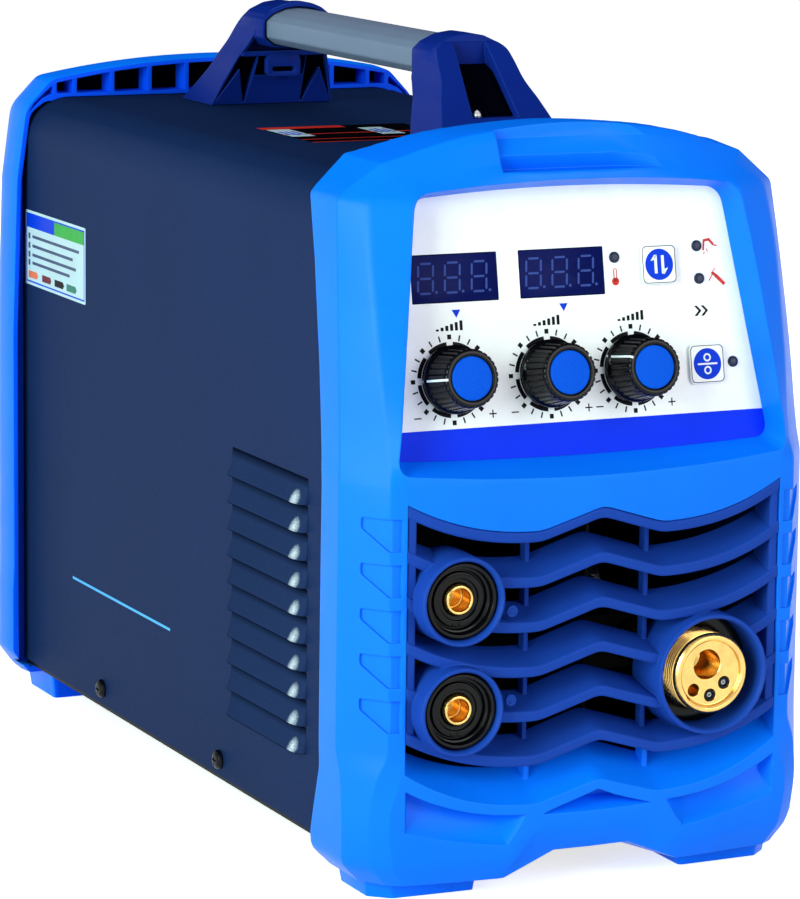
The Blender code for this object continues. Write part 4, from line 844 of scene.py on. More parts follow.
# ------------------------------------------------------------------- sockets
def cable_socket(tag, z):
    rim = SOCKET_R - 2.3
    outline = fillet([(10.3, 20.0), (10.3, 11.0), (rim, 11.0), (rim, -5.4), (rim - 0.9, -6.3),
                      (13.6, -6.3), (13.1, -3.6), (12.2, -3.4), (12.0, -1.4), (11.2, -1.4),
                      (11.0, -3.1), (8.6, -3.3), (8.3, -2.2), (6.8, -2.2), (6.8, 20.0)],
                     [0, 0, 0, .5, .4, .5, .4, .3, .3, .3, .3, .4, .3, .2, 0], 4)
    shell = lathe("shell", outline, (SOCKET_X, 0, z), segments=96)
    marks = [slab("mark", (SOCKET_X + x - 0.7, SOCKET_X + x + 0.7), (-3.75, -3.0),
                  (z - 10.2, z - 9.0), 0.1) for x in (-2.2, 0.4)]
    settle(join(f"socket_ring_{tag}", [shell] + marks), GLOSS, f"socket_insulator_{tag}")
    contact = lathe(f"socket_sleeve_{tag}",
                    fillet([(0, 26.0), (6.4, 26.0), (6.4, -3.2), (5.7, -4.2), (4.9, -4.3),
                            (4.5, -3.4), (4.5, 3.0), (3.9, 3.4), (3.9, 9.0), (0, 9.4)],
                           [0, 0, .4, .3, .3, .3, .2, .2, 0, 0], 3), (SOCKET_X, 0, z), segments=72)
    key = slab("key", (SOCKET_X - 1.2, SOCKET_X + 1.2), (-9, 4.0), (z + 2.0, z + 5.5), 0.3)
    move(key, Matrix.Translation((SOCKET_X, 0, z)) @ Matrix.Rotation(math.radians(-52), 4, "Y")
         @ Matrix.Translation((-SOCKET_X, 0, -z)))
    cut(contact, [key])
    settle(contact, BRASS, f"socket_contact_{tag}")


for tag, z in zip(("negative", "positive"), SOCKETS_Z):
    cable_socket(tag, z)


def gun_socket():
    profile = [(0, 58.0), (9.0, 58.0), (9.0, 22.0), (14.9, 22.0), (14.9, 8.5), (16.5, 8.5)]
    for k in range(8):
        y = 7.6 - k * 1.45
        profile += [(16.6, y), (16.6, y - 0.55), (16.0, y - 0.85), (16.0, y - 1.15)]
    profile += [(16.6, -4.4), (16.6, -6.0), (15.6, -7.2), (14.4, -7.3), (13.6, -6.6), (13.3, -5.2),
                (0, -5.2)]
    radii = [0.0] * (len(profile) - 7) + [.3, .6, .5, .4, .4, .4, 0]
    body = lathe("gun_socket_core", fillet(profile, radii, 4), (GUN_X, 0, GUN_Z), segments=120)
    holes = []
    for dx, dz, r, inner in ((-1.2, 3.6, 6.1, 2.0), (-7.2, -6.6, 2.6, 0), (6.8, -4.6, 2.6, 0),
                             (0.4, -9.3, 2.6, 0)):
        depth = 60 if inner else 12
        prof = [(0, -9), (r + 3.6, -9), (r, -4.9), (r, 12), (inner, 14), (inner, depth), (0, depth)]
        if not inner:
            prof = [(0, -9), (r + 4.0, -9), (r, -5.0), (r, 12), (0, 12)]
        holes.append(lathe("bore", prof, (GUN_X + dx, 0, GUN_Z + dz), segments=60))
    cut(body, holes)
    settle(body, BRASS, "gun_socket_body")
    flange = [(15.2, 11.3), (15.2, 8.8), (17.0, 8.8), (17.0, 6.4), (22.4, 6.0), (22.4, 11.3)]
    settle(lathe("gun_socket_flange", fillet(flange, [0, 0, 0, .3, .4, 0], 3), (GUN_X, 0, GUN_Z),
                 segments=96), GLOSS, "gun_socket_insulator")
    for tag, (dx, dz) in {"upper": (6.8, -4.6), "lower": (0.4, -9.3)}.items():
        centre = (GUN_X + dx, 0, GUN_Z + dz)
        collar = lathe("collar", fillet([(1.25, 11.5), (2.5, 11.5), (2.5, -5.1), (2.1, -5.4),
                                         (1.5, -5.3), (1.25, -4.6)], .15, 2), centre, segments=48)
        settle(collar, BLACK, slot="gun_socket_insulator")
        collar.name = f"gun_pin_collar_{tag}"
        pin = lathe(f"gun_pin_{tag}", fillet([(0, 11.0), (1.2, 11.0), (1.2, -4.3), (0.9, -4.6),
                                              (0.55, -4.6), (0.5, -2.4), (0, -2.4)], .12, 3),
                    centre, segments=40)
        settle(pin, STEEL, f"gun_socket_pin_{tag}")


gun_socket()


# ------------------------------------------------------------- control panel
def on_panel(obj):
    """From panel coordinates (u across, -y outwards, v up) to the machine."""
    return move(obj, PANEL)


def plate_outline(grow):
    inverse = PANEL.inverted()
    points = [inverse @ Vector(p) for p in window_outline(grow, label_y)]
    return [(p.x, p.z) for p in points]


DISPLAYS = {"display_left": (-52.2, 70.0), "display_right": (-4.5, 70.0)}
BUTTONS = {"mode_button": (38.9, 71.1), "feed_button": (58.2, 29.8)}
LAMPS = {"lamp_heat": (19.4, 74.9), "lamp_wire": (57.4, 77.9),
         "lamp_rod": (57.7, 64.6), "lamp_feed": (70.9, 30.1)}


def panel_holes():
    tools = [rod("bore", 4.2, -5, 9, (u, 0, KNOB_V)) for u in KNOBS_U]
    tools += [prism("slot", rounded(u, v, 19.15, 9.7, 0.5), "Y", -5, 9) for u, v in DISPLAYS.values()]
    tools += [prism("slot", rounded(u, v, 6.2, 6.2, 0.8), "Y", -5, 9) for u, v in BUTTONS.values()]
    return tools + [rod("bore", 1.8, -5, 9, (u, 0, v)) for u, v in LAMPS.values()]


def stripe(a, b, width):
    """Outline of a straight stroke between two points."""
    d = Vector(b) - Vector(a)
    n = Vector((-d.y, d.x)).normalized() * width / 2
    a, b = Vector(a), Vector(b)
    return [tuple(a + n), tuple(a - n), tuple(b - n), tuple(b + n)]


def arc(cu, cv, r0, r1, a0, a1, steps=16):
    """Outline of a ring segment between two angles in degrees."""
    angles = [math.radians(a0 + (a1 - a0) * k / steps) for k in range(steps + 1)]
    return ([(cu + r1 * math.cos(a), cv + r1 * math.sin(a)) for a in angles]
            + [(cu + r0 * math.cos(a), cv + r0 * math.sin(a)) for a in reversed(angles)])


def ring_strip(name, cu, cv, r0, r1, front, back=0.0):
    return lathe(name, [(r0, back), (r1, back), (r1, front), (r0, front)], (cu, 0, cv))


def inked(name, outlines, material, front=-0.07, back=0.02, body=CASE, slot="control_panel",
          extra=()):
    """Thin raised print made of several outlines on the label."""
    shells = [prism("stroke", pts, "Y", back, front) for pts in outlines] + list(extra)
    return settle(on_panel(join(name, shells)), material, body=body, slot=slot)


def label():
    plate = prism("label_plate", plate_outline(1.7), "Y", 0.55, 2.8)
    cut(plate, panel_holes())
    settle(on_panel(plate), BLACK, "control_panel")
    film = prism("label_film", plate_outline(1.5), "Y", 0.0, 0.5)
    cut(film, panel_holes())
    settle(on_panel(film), LABEL, slot="control_panel")
    band = prism("label_band", plate_outline(1.4), "Y", 0.02, -0.05)
    cut(band, [slab("keep", (-120, 120), (-1, 1), (-40, 10.3))], "INTERSECT")
    settle(on_panel(band), BAND, slot="control_panel")


def dial_prints():
    strokes = []
    for u in KNOBS_U:
        for k in range(8):
            a = 45 * k
            strokes.append(arc(u, KNOB_V, 13.4, 15.1, a + 5.5, a + 39.5))
            m = math.radians(a)
            c = (u + 17.0 * math.cos(m), KNOB_V + 17.0 * math.sin(m))
            out = Vector((math.cos(m), math.sin(m))) * 0.95
            strokes.append(stripe(Vector(c) - out, Vector(c) + out, 1.7))
            for b in (15, 30):
                m = math.radians(a + b)
                d = Vector((math.cos(m), math.sin(m)))
                here = Vector((u, KNOB_V))
                strokes.append(stripe(here + d * 15.6, here + d * 18.0, 0.62))
    for u, v, plus in ((-39.1, 15.4, 1), (-72.1, 15.3, 0), (3.8, 15.3, 1), (-29.2, 15.4, 0),
                       (41.7, 15.4, 1), (8.8, 15.3, 0)):
        strokes.append(stripe((u - 1.6, v), (u + 1.6, v), 0.5))
        if plus:
            strokes.append(stripe((u, v - 1.6), (u, v + 1.6), 0.5))
    # rising bars over the dials and a double chevron over the feed button
    for u in KNOBS_U:
        for k in range(6):
            x, h = u - 5.6 + k * 2.1, 0.8 + 0.62 * k
            strokes.append([(x, 49.2), (x + 1.25, 49.2), (x + 1.25, 49.2 + h), (x, 49.2 + h)])
    for k in range(2):
        x = 54.6 + 3.1 * k
        strokes.append([(x, 49.4), (x + 1.3, 49.4), (x + 3.3, 51.5), (x + 1.3, 53.6), (x, 53.6),
                        (x + 2.0, 51.5)])
    inked("dial_prints", strokes, INK_BLACK)
    marks = [[(u - 1.9, v + 1.5), (u + 1.9, v + 1.5), (u, v - 1.7)]
             for u, v in ((-52.5, 55.9), (-4.7, 56.1))]
    inked("unit_marks", marks, INK_BLUE)


def symbols():
    heat = [rounded(19.5, 67.6, 0.85, 2.9, 0.8), circle(19.5, 65.2, 1.65, 24)]
    torch = [stripe((60.7, 79.9), (63.4, 80.3), 1.1), stripe((63.1, 80.5), (65.2, 78.2), 1.1),
             stripe((61.0, 80.0), (60.5, 75.9), 0.8), stripe((65.0, 78.0), (66.9, 77.6), 0.6),
             stripe((61.9, 76.6), (62.5, 75.2), 0.35), stripe((60.9, 75.4), (60.7, 74.2), 0.35)]
    rod = [stripe((62.3, 63.4), (64.7, 67.0), 0.45), stripe((63.7, 66.9), (66.0, 65.2), 1.2),
           stripe((65.4, 65.6), (69.4, 61.8), 1.5), stripe((64.3, 67.4), (65.4, 68.3), 0.4)]
    inked("heat_and_torch_symbols", heat + torch + rod, INK_RED)
    inked("heat_glass", [rounded(19.5, 68.4, 0.38, 1.8, 0.36)], INK_WHITE, -0.1, -0.06)


def button_face(name):
    """Rounded key with a thin outline, a blue disc and a white glyph."""
    u, v = BUTTONS[name]
    cap = prism("cap", rounded(u, v, 8.0, 8.0, 2.2), "Y", CAP_BACK, -1.75)
    cap = bevel(cap, 0.45, 3)
    stem = prism("stem", rounded(u, v, 5.9, 5.9, 0.8), "Y", -1.2, 6.0)
    piece = on_panel(cut(cap, [stem], "UNION"))
    piece.name = name + "_cap"
    settle(piece, LABEL, name, body=name, slot=name)
    rim = prism("rim", rounded(u, v, 7.55, 7.55, 1.9), "Y", -1.7, -1.8)
    cut(rim, [prism("in", rounded(u, v, 7.25, 7.25, 1.7), "Y", -1, -3)])
    settle(on_panel(join(name + "_rim", [rim])), INK_BLACK, body=name, slot=name)
    disc = rod("disc", 6.35, -1.7, -1.82, (u, 0, v))
    settle(on_panel(join(name + "_disc", [disc])), INK_BLUE, body=name, slot=name)
    if name == "mode_button":
        glyph = []
        for s in (1, -1):
            c, d = u - s * 1.6, s
            glyph.append(stripe((c, v - 3.6), (c, v + 3.6), 1.25))
            glyph.append([(c + 0.6 * d, v + d * 3.9), (c - 0.62 * d, v + d * 3.9),
                          (c - d * 2.3, v + d * 1.5), (c - d * 0.55, v + d * 1.9)])
        inked(name + "_glyph", glyph, INK_WHITE, -1.9, -1.8, name, name)
    else:
        rings = [ring_strip("roll", u, v + d, 1.0, 1.7, -1.9, -1.8) for d in (2.6, -2.6)]
        wire = [stripe((u - 4.5, v), (u + 4.5, v), 0.75)]
        inked(name + "_glyph", wire, INK_WHITE, -1.9, -1.8, name, name, rings)


def displays():
    """Dark windows with faint unlit digits."""
    for name, (cu, cv) in DISPLAYS.items():
        frame_ring = prism("window", rounded(cu, cv, 18.85, 9.4, 0.6), "Y", 0.12, 8.0)
        pane = bevel(frame_ring, 0.25, 2)
        pane.name = name + "_pane"
        settle(on_panel(pane), WINDOW, name)
        segments = []
        for off in (-12.6, -0.9, 10.9):
            for kind in range(7):
                segments.append([(cu + off + x + z * 0.07, cv + 0.2 + z)
                                 for x, z in segment(kind, 3.25, 5.9, 0.85)])
            segments.append([(x + cu + off + 4.4, z + cv - 5.4) for x, z in circle(0, 0, 0.6, 12)])
        inked(name + "_digits", segments, SEGMENT, 0.08, 0.14, slot=name)


def segment(kind, w, h, t):
    """Outline of one stroke of a seven-segment digit: 0 top, 1 middle, 2 low, 3-6 uprights."""
    if kind < 3:
        z = (h, 0, -h)[kind]
        a = w - t * 0.9
        return [(-a, z), (-a + t / 2, z + t / 2), (a - t / 2, z + t / 2), (a, z),
                (a - t / 2, z - t / 2), (-a + t / 2, z - t / 2)]
    x = w if kind in (3, 4) else -w
    lo, hi = (0, h) if kind in (3, 5) else (-h, 0)
    lo, hi = lo + t * 0.65, hi - t * 0.65
    return [(x, lo), (x + t / 2, lo + t / 2), (x + t / 2, hi - t / 2), (x, hi),
            (x - t / 2, hi - t / 2), (x - t / 2, lo + t / 2)]


def lamps():
    for name, (u, v) in LAMPS.items():
        dome = fillet([(0, 5.5), (1.5, 5.5), (1.5, -0.02), (2.25, -0.02), (2.25, -0.7),
                       (1.3, -1.05), (0, -1.15)], [0, 0, 0, 0, 0.5, 0.6, 0], 4)
        piece = on_panel(lathe(name + "_lens", dome, (u, 0, v), segments=48))
        settle(piece, LENS, name)


def fluted(name, rows, teeth, depth):
    """Solid of revolution whose side is fluted by the depth given in each (radius, y, flute) row."""
    segments = teeth * 8
    verts, faces = [], []
    for r, y, flute in rows:
        for s in range(segments):
            a = 2 * math.pi * s / segments
            wave = max(0.0, math.cos(a * teeth)) ** 2
            q = r - depth * flute * wave
            verts.append((q * math.cos(a), y, q * math.sin(a)))
    n = len(rows)
    for k in range(n):
        for s in range(segments):
            t, k1 = (s + 1) % segments, (k + 1) % n
            faces.append((k * segments + s, k * segments + t, k1 * segments + t,
                          k1 * segments + s))
    return build(name, verts, faces, 30)


KNOB_POINTERS = (180.0, 35.0, 156.0)


def knob(i):
    u = KNOBS_U[i - 1]
    side = [(3.3, -1.0, 0), (13.1, -1.0, 0), (13.6, -1.2, 0), (13.7, -1.7, 0), (13.7, -3.7, 0),
            (13.5, -4.2, 0), (13.0, -4.6, 0), (12.75, -5.0, 0.4), (12.6, -5.6, 1.0),
            (11.75, -17.0, 1.0), (11.7, -17.6, 1.0), (11.55, -18.3, 0.8), (11.1, -18.8, 0.3),
            (10.6, -19.0, 0), (9.5, -19.0, 0), (9.15, -18.8, 0), (9.05, -18.4, 0),
            (9.0, -17.5, 0), (3.3, -17.5, 0)]
    body = fluted(f"knob_body_{i}", side, 30, 0.55)
    move(body, Matrix.Translation((u, 0, KNOB_V)))
    settle(on_panel(body), GLOSS, f"knob_{i}", body=f"knob_{i}")
    cap = fillet([(0, -17.4), (8.75, -17.4), (8.75, -18.55), (8.3, -18.95), (0, -19.1)],
                 [0, 0, 0.35, 0.6, 0], 4)
    settle(on_panel(lathe(f"knob_disc_{i}", cap, (u, 0, KNOB_V), segments=80)), CAP,
           f"knob_cap_{i}", body=f"knob_{i}")
    a = math.radians(KNOB_POINTERS[i - 1])
    needle = []
    for k, (r, y) in enumerate(((13.85, -2.0), (12.9, -5.3), (11.85, -18.2), (10.9, -19.06))):
        for w, out in ((0.45, 0.0), (-0.45, 0.0), (-0.45, -0.7), (0.45, -0.7)):
            q = r + out
            needle.append((q * math.cos(a) - w * math.sin(a), y + (0.12 if out and k == 3 else 0),
                           q * math.sin(a) + w * math.cos(a)))
    rings = [needle[4 * k:4 * k + 4] for k in range(4)]
    line = loft(f"knob_pointer_{i}", rings)
    move(line, Matrix.Translation((u, 0, KNOB_V)))
    settle(on_panel(line), INK_WHITE, body=f"knob_{i}", slot=f"knob_{i}")


label()
dial_prints()
symbols()
displays()
lamps()
for name in BUTTONS:
    button_face(name)
for number in (1, 2, 3):
    knob(number)


# ---------------------------------------------------------- sheet-metal body
SCREWS = (("front", 154.3, 22.0), ("rear", 292.5, 22.5))
DOOR_Y, DOOR_Z = (78.0, 372.0), (42.0, 256.0)


def u_outline(half, top, radius, bottom, steps=18):
    pts = [(half, bottom)]
    for i in range(steps + 1):
        a = math.pi / 2 * i / steps
        pts.append((half - radius + radius * math.cos(a), top - radius + radius * math.sin(a)))
    return mirrored(pts)


def door_outline(inset, r=5.0):
    return rounded((DOOR_Y[0] + DOOR_Y[1]) / 2, (DOOR_Z[0] + DOOR_Z[1]) / 2,
                   (DOOR_Y[1] - DOOR_Y[0]) / 2 - inset, (DOOR_Z[1] - DOOR_Z[0]) / 2 - inset, r, 8)


def cover():
    sheet = 1.2
    profile = (u_outline(COVER_HALF, COVER_TOP, 20.0, COVER_BOTTOM)
               + u_outline(COVER_HALF - sheet, COVER_TOP - sheet, 20.0 - sheet,
                           COVER_BOTTOM)[::-1])
    body = prism("cover_sheet", profile, "Y", 28.5, COVER_REAR)
    tools = [prism("ahead", [(0, 0), (31.0, 0), (31.0, 165), (47.0, 283), (47.0, 300), (0, 300)],
                   "X", -120, 120)]
    for _, y, z in SCREWS:
        tools.append(rod("hole", 2.2, -120, 120, (0, y, z), "X"))
    tools.append(prism("door_hole", door_outline(0.0), "X", 90.0, 120.0))
    cut(body, tools)
    settle(body, COVER, "cover")


def louvre(z, depth=4.2):
    """Pressed hood: grows out of the sheet towards its open lower lip."""
    nose, tail, low, high = 7.5, 6.0, z - 4.6, z + 6.2
    count = 12
    ys = [HOOD_Y + nose * (1 - math.cos(math.pi / 2 * k / count)) for k in range(count)]
    ys += [HOOD_Y + nose + (HOOD_END - tail - HOOD_Y - nose) * k / 8 for k in range(9)]
    ys += [HOOD_END - tail + tail * math.sin(math.pi / 2 * k / 7) for k in range(1, 8)]
    skin = -(COVER_HALF - 0.3)
    rings = []
    for y in ys:
        front, rear = min(1.0, (y - HOOD_Y) / nose), min(1.0, (HOOD_END - y) / tail)
        f = math.sqrt(max(0.0, 1 - (1 - front) ** 2)) * math.sqrt(max(0.0, 1 - (1 - rear) ** 2))
        ring = [(skin - 0.3 - depth * f * (k / 16) ** 1.5, y, high + (low - high) * k / 16)
                for k in range(17)]
        x = ring[-1][0]
        ring += [(x + 0.15 * f, y, low - 0.35 * f), (x + 0.6 * f, y, low - 0.5 * f),
                 (x + 1.1 * f, y, low - 0.2 * f), (min(skin + 0.3, x + 1.3 * f + 0.01), y, low + f),
                 (skin + 0.5, y, low + 2.0 * f), (skin + 0.5, y, high)]
        rings.append(ring)
    return loft("louvre", rings, sharp=50)


def slot(z, drop=1.5, ends=3.0):
    """Black strip on the sheet below the lip of a louvre: painted shadow."""
    skin = -(COVER_HALF + 0.02)
    strip = [(HOOD_Y + ends, z - 3.0), (HOOD_Y + ends, z - 4.6 - drop * 0.4),
             (HOOD_Y + ends + 6, z - 4.6 - drop), (HOOD_END - ends - 6, z - 4.6 - drop),
             (HOOD_END - ends, z - 4.6 - drop * 0.4), (HOOD_END - ends, z - 3.0)]
    return prism("slot", fillet(strip, 0.6, 3), "X", skin, skin - 0.4)


def cover_screw(side, tag, y, z):
    s = -1 if side == "left" else 1
    head = [(0, -10.0), (1.5, -10.0), (1.5, 0), (4.2, 0), (4.2, 0.5), (3.8, 1.6), (2.6, 2.3),
            (0, 2.6)]
    screw = lathe("screw", fillet(head, [0, 0, 0, .1, .4, .5, .5, 0], 4), (0, 0, 0), "X", 48)
    cross = [slab("a", (1.2, 5), (-2.0, 2.0), (-0.42, 0.42)),
             slab("b", (1.2, 5), (-0.42, 0.42), (-2.0, 2.0))]
    cut(screw, cross)
    if s < 0:
        move(screw, Matrix.Rotation(math.pi, 4, "Z"))
    move(screw, Matrix.Translation((s * (COVER_HALF + 0.3), y, z)))
    screw.name = f"screw_{side}_{tag}"
    settle(screw, BLACK, f"cover_screw_{side}_{tag}")


def wire_door():
    x1 = COVER_HALF
    leaf = prism("door_leaf", door_outline(0.6, 4.4), "X", x1 - 1.2, x1)
    field = prism("field", door_outline(16.0, 7.0), "X", x1 - 0.2, x1 + 0.9)
    field = bevel(field, 0.85, 4)
    y0, y1, z0, z1 = DOOR_Y[0] + 5, DOOR_Y[1] - 5, DOOR_Z[0] + 0.6, DOOR_Z[1] - 0.6
    lips = [slab("lip", (x1 - 9.0, x1 - 0.6), (y0, y1), (z, z + 1.2), 0.3)
            for z in (z0, z1 - 1.2)]
    hinge, count, a, b = (x1 + 1.2, DOOR_Y[1] - 3.6, 0), 5, z0 + 20, z1 - 20
    hinges = [rod("hinge_pin", 2.0, a, b, hinge, "Z", 32)]
    for k in range(count):
        p, q = a + (b - a) * k / count + 0.2, a + (b - a) * (k + 1) / count - 0.2
        ring = fillet([(0, p), (3.0, p), (3.0, q), (0, q)], [0, 0.4, 0.4, 0], 3)
        hinges.append(lathe("knuckle", ring, hinge, "Z", 40))
    cut(leaf, [rod("hole", 4.5, 60, 130, (0, LATCH_Y, LATCH_Z), "X")])
    piece = join("door_panel", [leaf, field] + hinges[:1] + lips + hinges[1:])
    settle(piece, COVER, "wire_door", body="wire_door")
    rose = fillet([(0, x1 - 8.0), (4.2, x1 - 8.0), (4.2, x1 + 0.3), (11.0, x1 + 0.3),
                   (11.0, x1 + 2.6), (10.0, x1 + 3.6), (0, x1 + 3.6)],
                  [0, 0, 0, .3, .5, .8, 0], 4)
    base = lathe("rose", rose, (0, LATCH_Y, LATCH_Z), "X", 64)
    grip = slab("grip", (x1 + 3.0, x1 + 9.0), (LATCH_Y - 2, LATCH_Y + 2),
                (LATCH_Z - 9, LATCH_Z + 9), 1.2)
    tongue = slab("tongue", (x1 - 7.8, x1 - 5.6), (LATCH_Y - 14, LATCH_Y + 1.5),
                  (LATCH_Z - 3, LATCH_Z + 3), 0.5)
    settle(join("latch_knob", [base, grip, tongue]), BLACK, "door_latch", body="door_latch")


def side_sticker():
    """Plain information label with coloured fields and no text."""
    x = -(COVER_HALF + 0.02)

    def patch(name, outline, material, thick):
        settle(prism(name, outline, "X", x, x - thick), material, slot="cover")

    def box4(y0, y1, z0, z1):
        return [(y0, z0), (y1, z0), (y1, z1), (y0, z1)]

    patch("side_label", rounded(353.0, 213.5, 39.0, 17.5, 0.8, 4), STICKER, 0.10)
    rim = [prism("r", box4(*b), "X", x - 0.06, x - 0.14) for b in
           ((315.2, 390.8, 229.0, 229.7), (315.2, 390.8, 197.3, 198.0),
            (315.2, 315.9, 197.3, 229.7), (390.1, 390.8, 197.3, 229.7))]
    rim.append(prism("r", box4(354.0, 390.2, 223.0, 229.2), "X", x - 0.06, x - 0.15))
    settle(join("side_label_blue", rim), INK_BLUE, slot="cover")
    patch("side_label_green", box4(316.0, 354.0, 223.0, 229.0), INK_GREEN, 0.145)
    for tag, ink, y0, y1 in (("peach", INK_PEACH, 375.5, 388.0), ("maroon", INK_MAROON, 357.8, 370.0),
                             ("black", INK_BLACK, 341.2, 353.6), ("teal", INK_TEAL, 325.0, 338.0)):
        arrow = [(y1, 199.4), (y1, 202.6), (y0 + 1.6, 202.6), (y0, 201.0), (y0 + 1.6, 199.4)]
        patch(f"side_label_{tag}", arrow, ink, 0.145)
    lines = []
    for row, (z, y0) in enumerate(((219.0, 322.0), (214.6, 330.0), (210.4, 326.0), (206.6, 334.0))):
        lines.append(prism("r", box4(y0, 383.0, z - 0.7, z + 0.7), "X", x - 0.06, x - 0.135))
        lines.append(prism("r", rounded(387.0, z, 1.3, 1.4, 0.6, 3), "X", x - 0.06, x - 0.135))
    settle(join("side_label_rules", lines), INK_GREY, slot="cover")
    patch("side_stripe", box4(211.0, 330.6, 66.2, 67.4), INK_SKY, 0.06)


def top_sticker():
    z = COVER_TOP + 0.02

    def patch(name, boxes, material, thick):
        parts = [slab("p", (x0, x1), (y0, y1), (z - 0.02, z + thick)) for x0, x1, y0, y1 in boxes]
        settle(join(name, parts), material, slot="cover")

    patch("top_label", [(-50.4, 20.0, 169.0, 230.5)], INK_BLACK, 0.06)
    patch("top_label_red", [(-50.4, -11.0, 223.0, 230.5), (-50.4, 20.0, 200.2, 201.8),
                            (-50.4, 20.0, 180.4, 181.6), (-50.4, 20.0, 169.4, 170.4)],
          INK_RED, 0.1)
    patch("top_label_pale", [(-49.4, -38.8, 193.0, 222.0), (-7.2, 3.6, 192.0, 219.0)],
          STICKER, 0.1)
    bars = [(-48.0 + 3.0 * k, -46.6 + 3.0 * k, 200.0 - 2 * (k % 2), 213.0) for k in range(3)]
    bars += [(-5.6 + 3.0 * k, -4.2 + 3.0 * k, 198.0, 211.0 + 2 * (k % 2)) for k in range(3)]
    patch("top_label_bars", bars, INK_BLUE, 0.13)


cover()
hood_heights = [HOOD_LIP + 4.6 - k * HOOD_PITCH for k in range(HOODS)]
settle(join("cover_louvres", [louvre(z) for z in hood_heights]), LOUVRE, slot="cover")
# The black strips under the louvre lips are painted shadow.
settle(join("louvre_painted_shadows", [slot(z) for z in hood_heights]), SHADE_BLACK, slot="cover")
for side in ("left", "right"):
    for tag, y, z in SCREWS:
        cover_screw(side, tag, y, z)
wire_door()
side_sticker()
top_sticker()


# ------------------------------------------------------------- rear of case
def rear_outline(grow):
    top = [(k * 86.7 / 12, arch(k * 86.7 / 12, *REAR_ARCH) + grow) for k in range(13)]
    half = top[1:] + [(99.6 + grow, 278.1 + grow * 0.6), (104.1 + grow, 245.0),
                      (106.3 + grow, 173.0), (106.3 + grow, 62.0), (106.9 + grow, 50.0),
                      (106.9 + grow, 20.0), (101.0 + grow * 0.5, 12.0 - grow),
                      (98.0, 9.0 - grow)]
    radii = [0.0] * 12 + [9.0, 14.0, 40.0, 60.0, 8.0, 8.0, 5.0, 3.0, 0.0]
    right = fillet([top[0]] + half, radii, 5, closed=False)
    return right[1:] + [(-x, z) for x, z in reversed(right[1:])] + [right[0]]


def rear_seat(grow):
    half = [(93 + grow, 15 - grow), (93 + grow, 261 + grow), (86 + grow, 275 + grow)]
    return half + [(-x, z) for x, z in reversed(half)]


def rear_pockets(inset):
    """Openings between the ribs of the rear arch, made smaller by inset."""
    shapes = []
    for k in range(-5, 5):
        x0, x1 = max(k * RIB_PITCH + 1.0, -84.2), min((k + 1) * RIB_PITCH - 1.0, 84.2)
        x0, x1, low = x0 + inset, x1 - inset, COVER_TOP + 2.0 + inset
        tops = [arch(x, *REAR_ARCH) - 2.1 - inset for x in (x0, x1)]
        shapes.append(fillet([(x0, low), (x1, low), (x1, tops[1]), (x0, tops[0])], 0.5, 2))
    for s in (1, -1):
        corner = [(86.2, 285.0), (86.2, 289.0), (95.6, 280.6), (98.2, 276.2), (95.6, 278.8),
                  (91.2, 282.9)]
        shapes.append([(s * (x - inset * 0.3), z) for x, z in fillet(corner, 0.8, 3)])
    return shapes


def paint_inner_shade(body):
    """Painted shade: a darker copy of the azure on the faces of the rear frame that look forward or line
    its rim.
    """
    heights = [12, 62, 173, 245, 278.1, 291.6, 300]
    halves = [106.9, 106.3, 106.3, 104.1, 99.6, 86.7, 0.0]
    wall, bevelled_corner, pocket_end = 2.2, 376.8, 404.0
    for face in body.data.polygons:
        x, y, z = (face.center - SHIFT) / MM
        inner = abs(x) < pchip(heights, halves, z) - wall and abs(x) + z < bevelled_corner
        inner = inner and 20 < z < arch(x, *REAR_ARCH) - 1.2
        if face.normal.y < -0.8 or (inner and y < pocket_end and abs(face.normal.y) < 0.5):
            face.material_index = 1


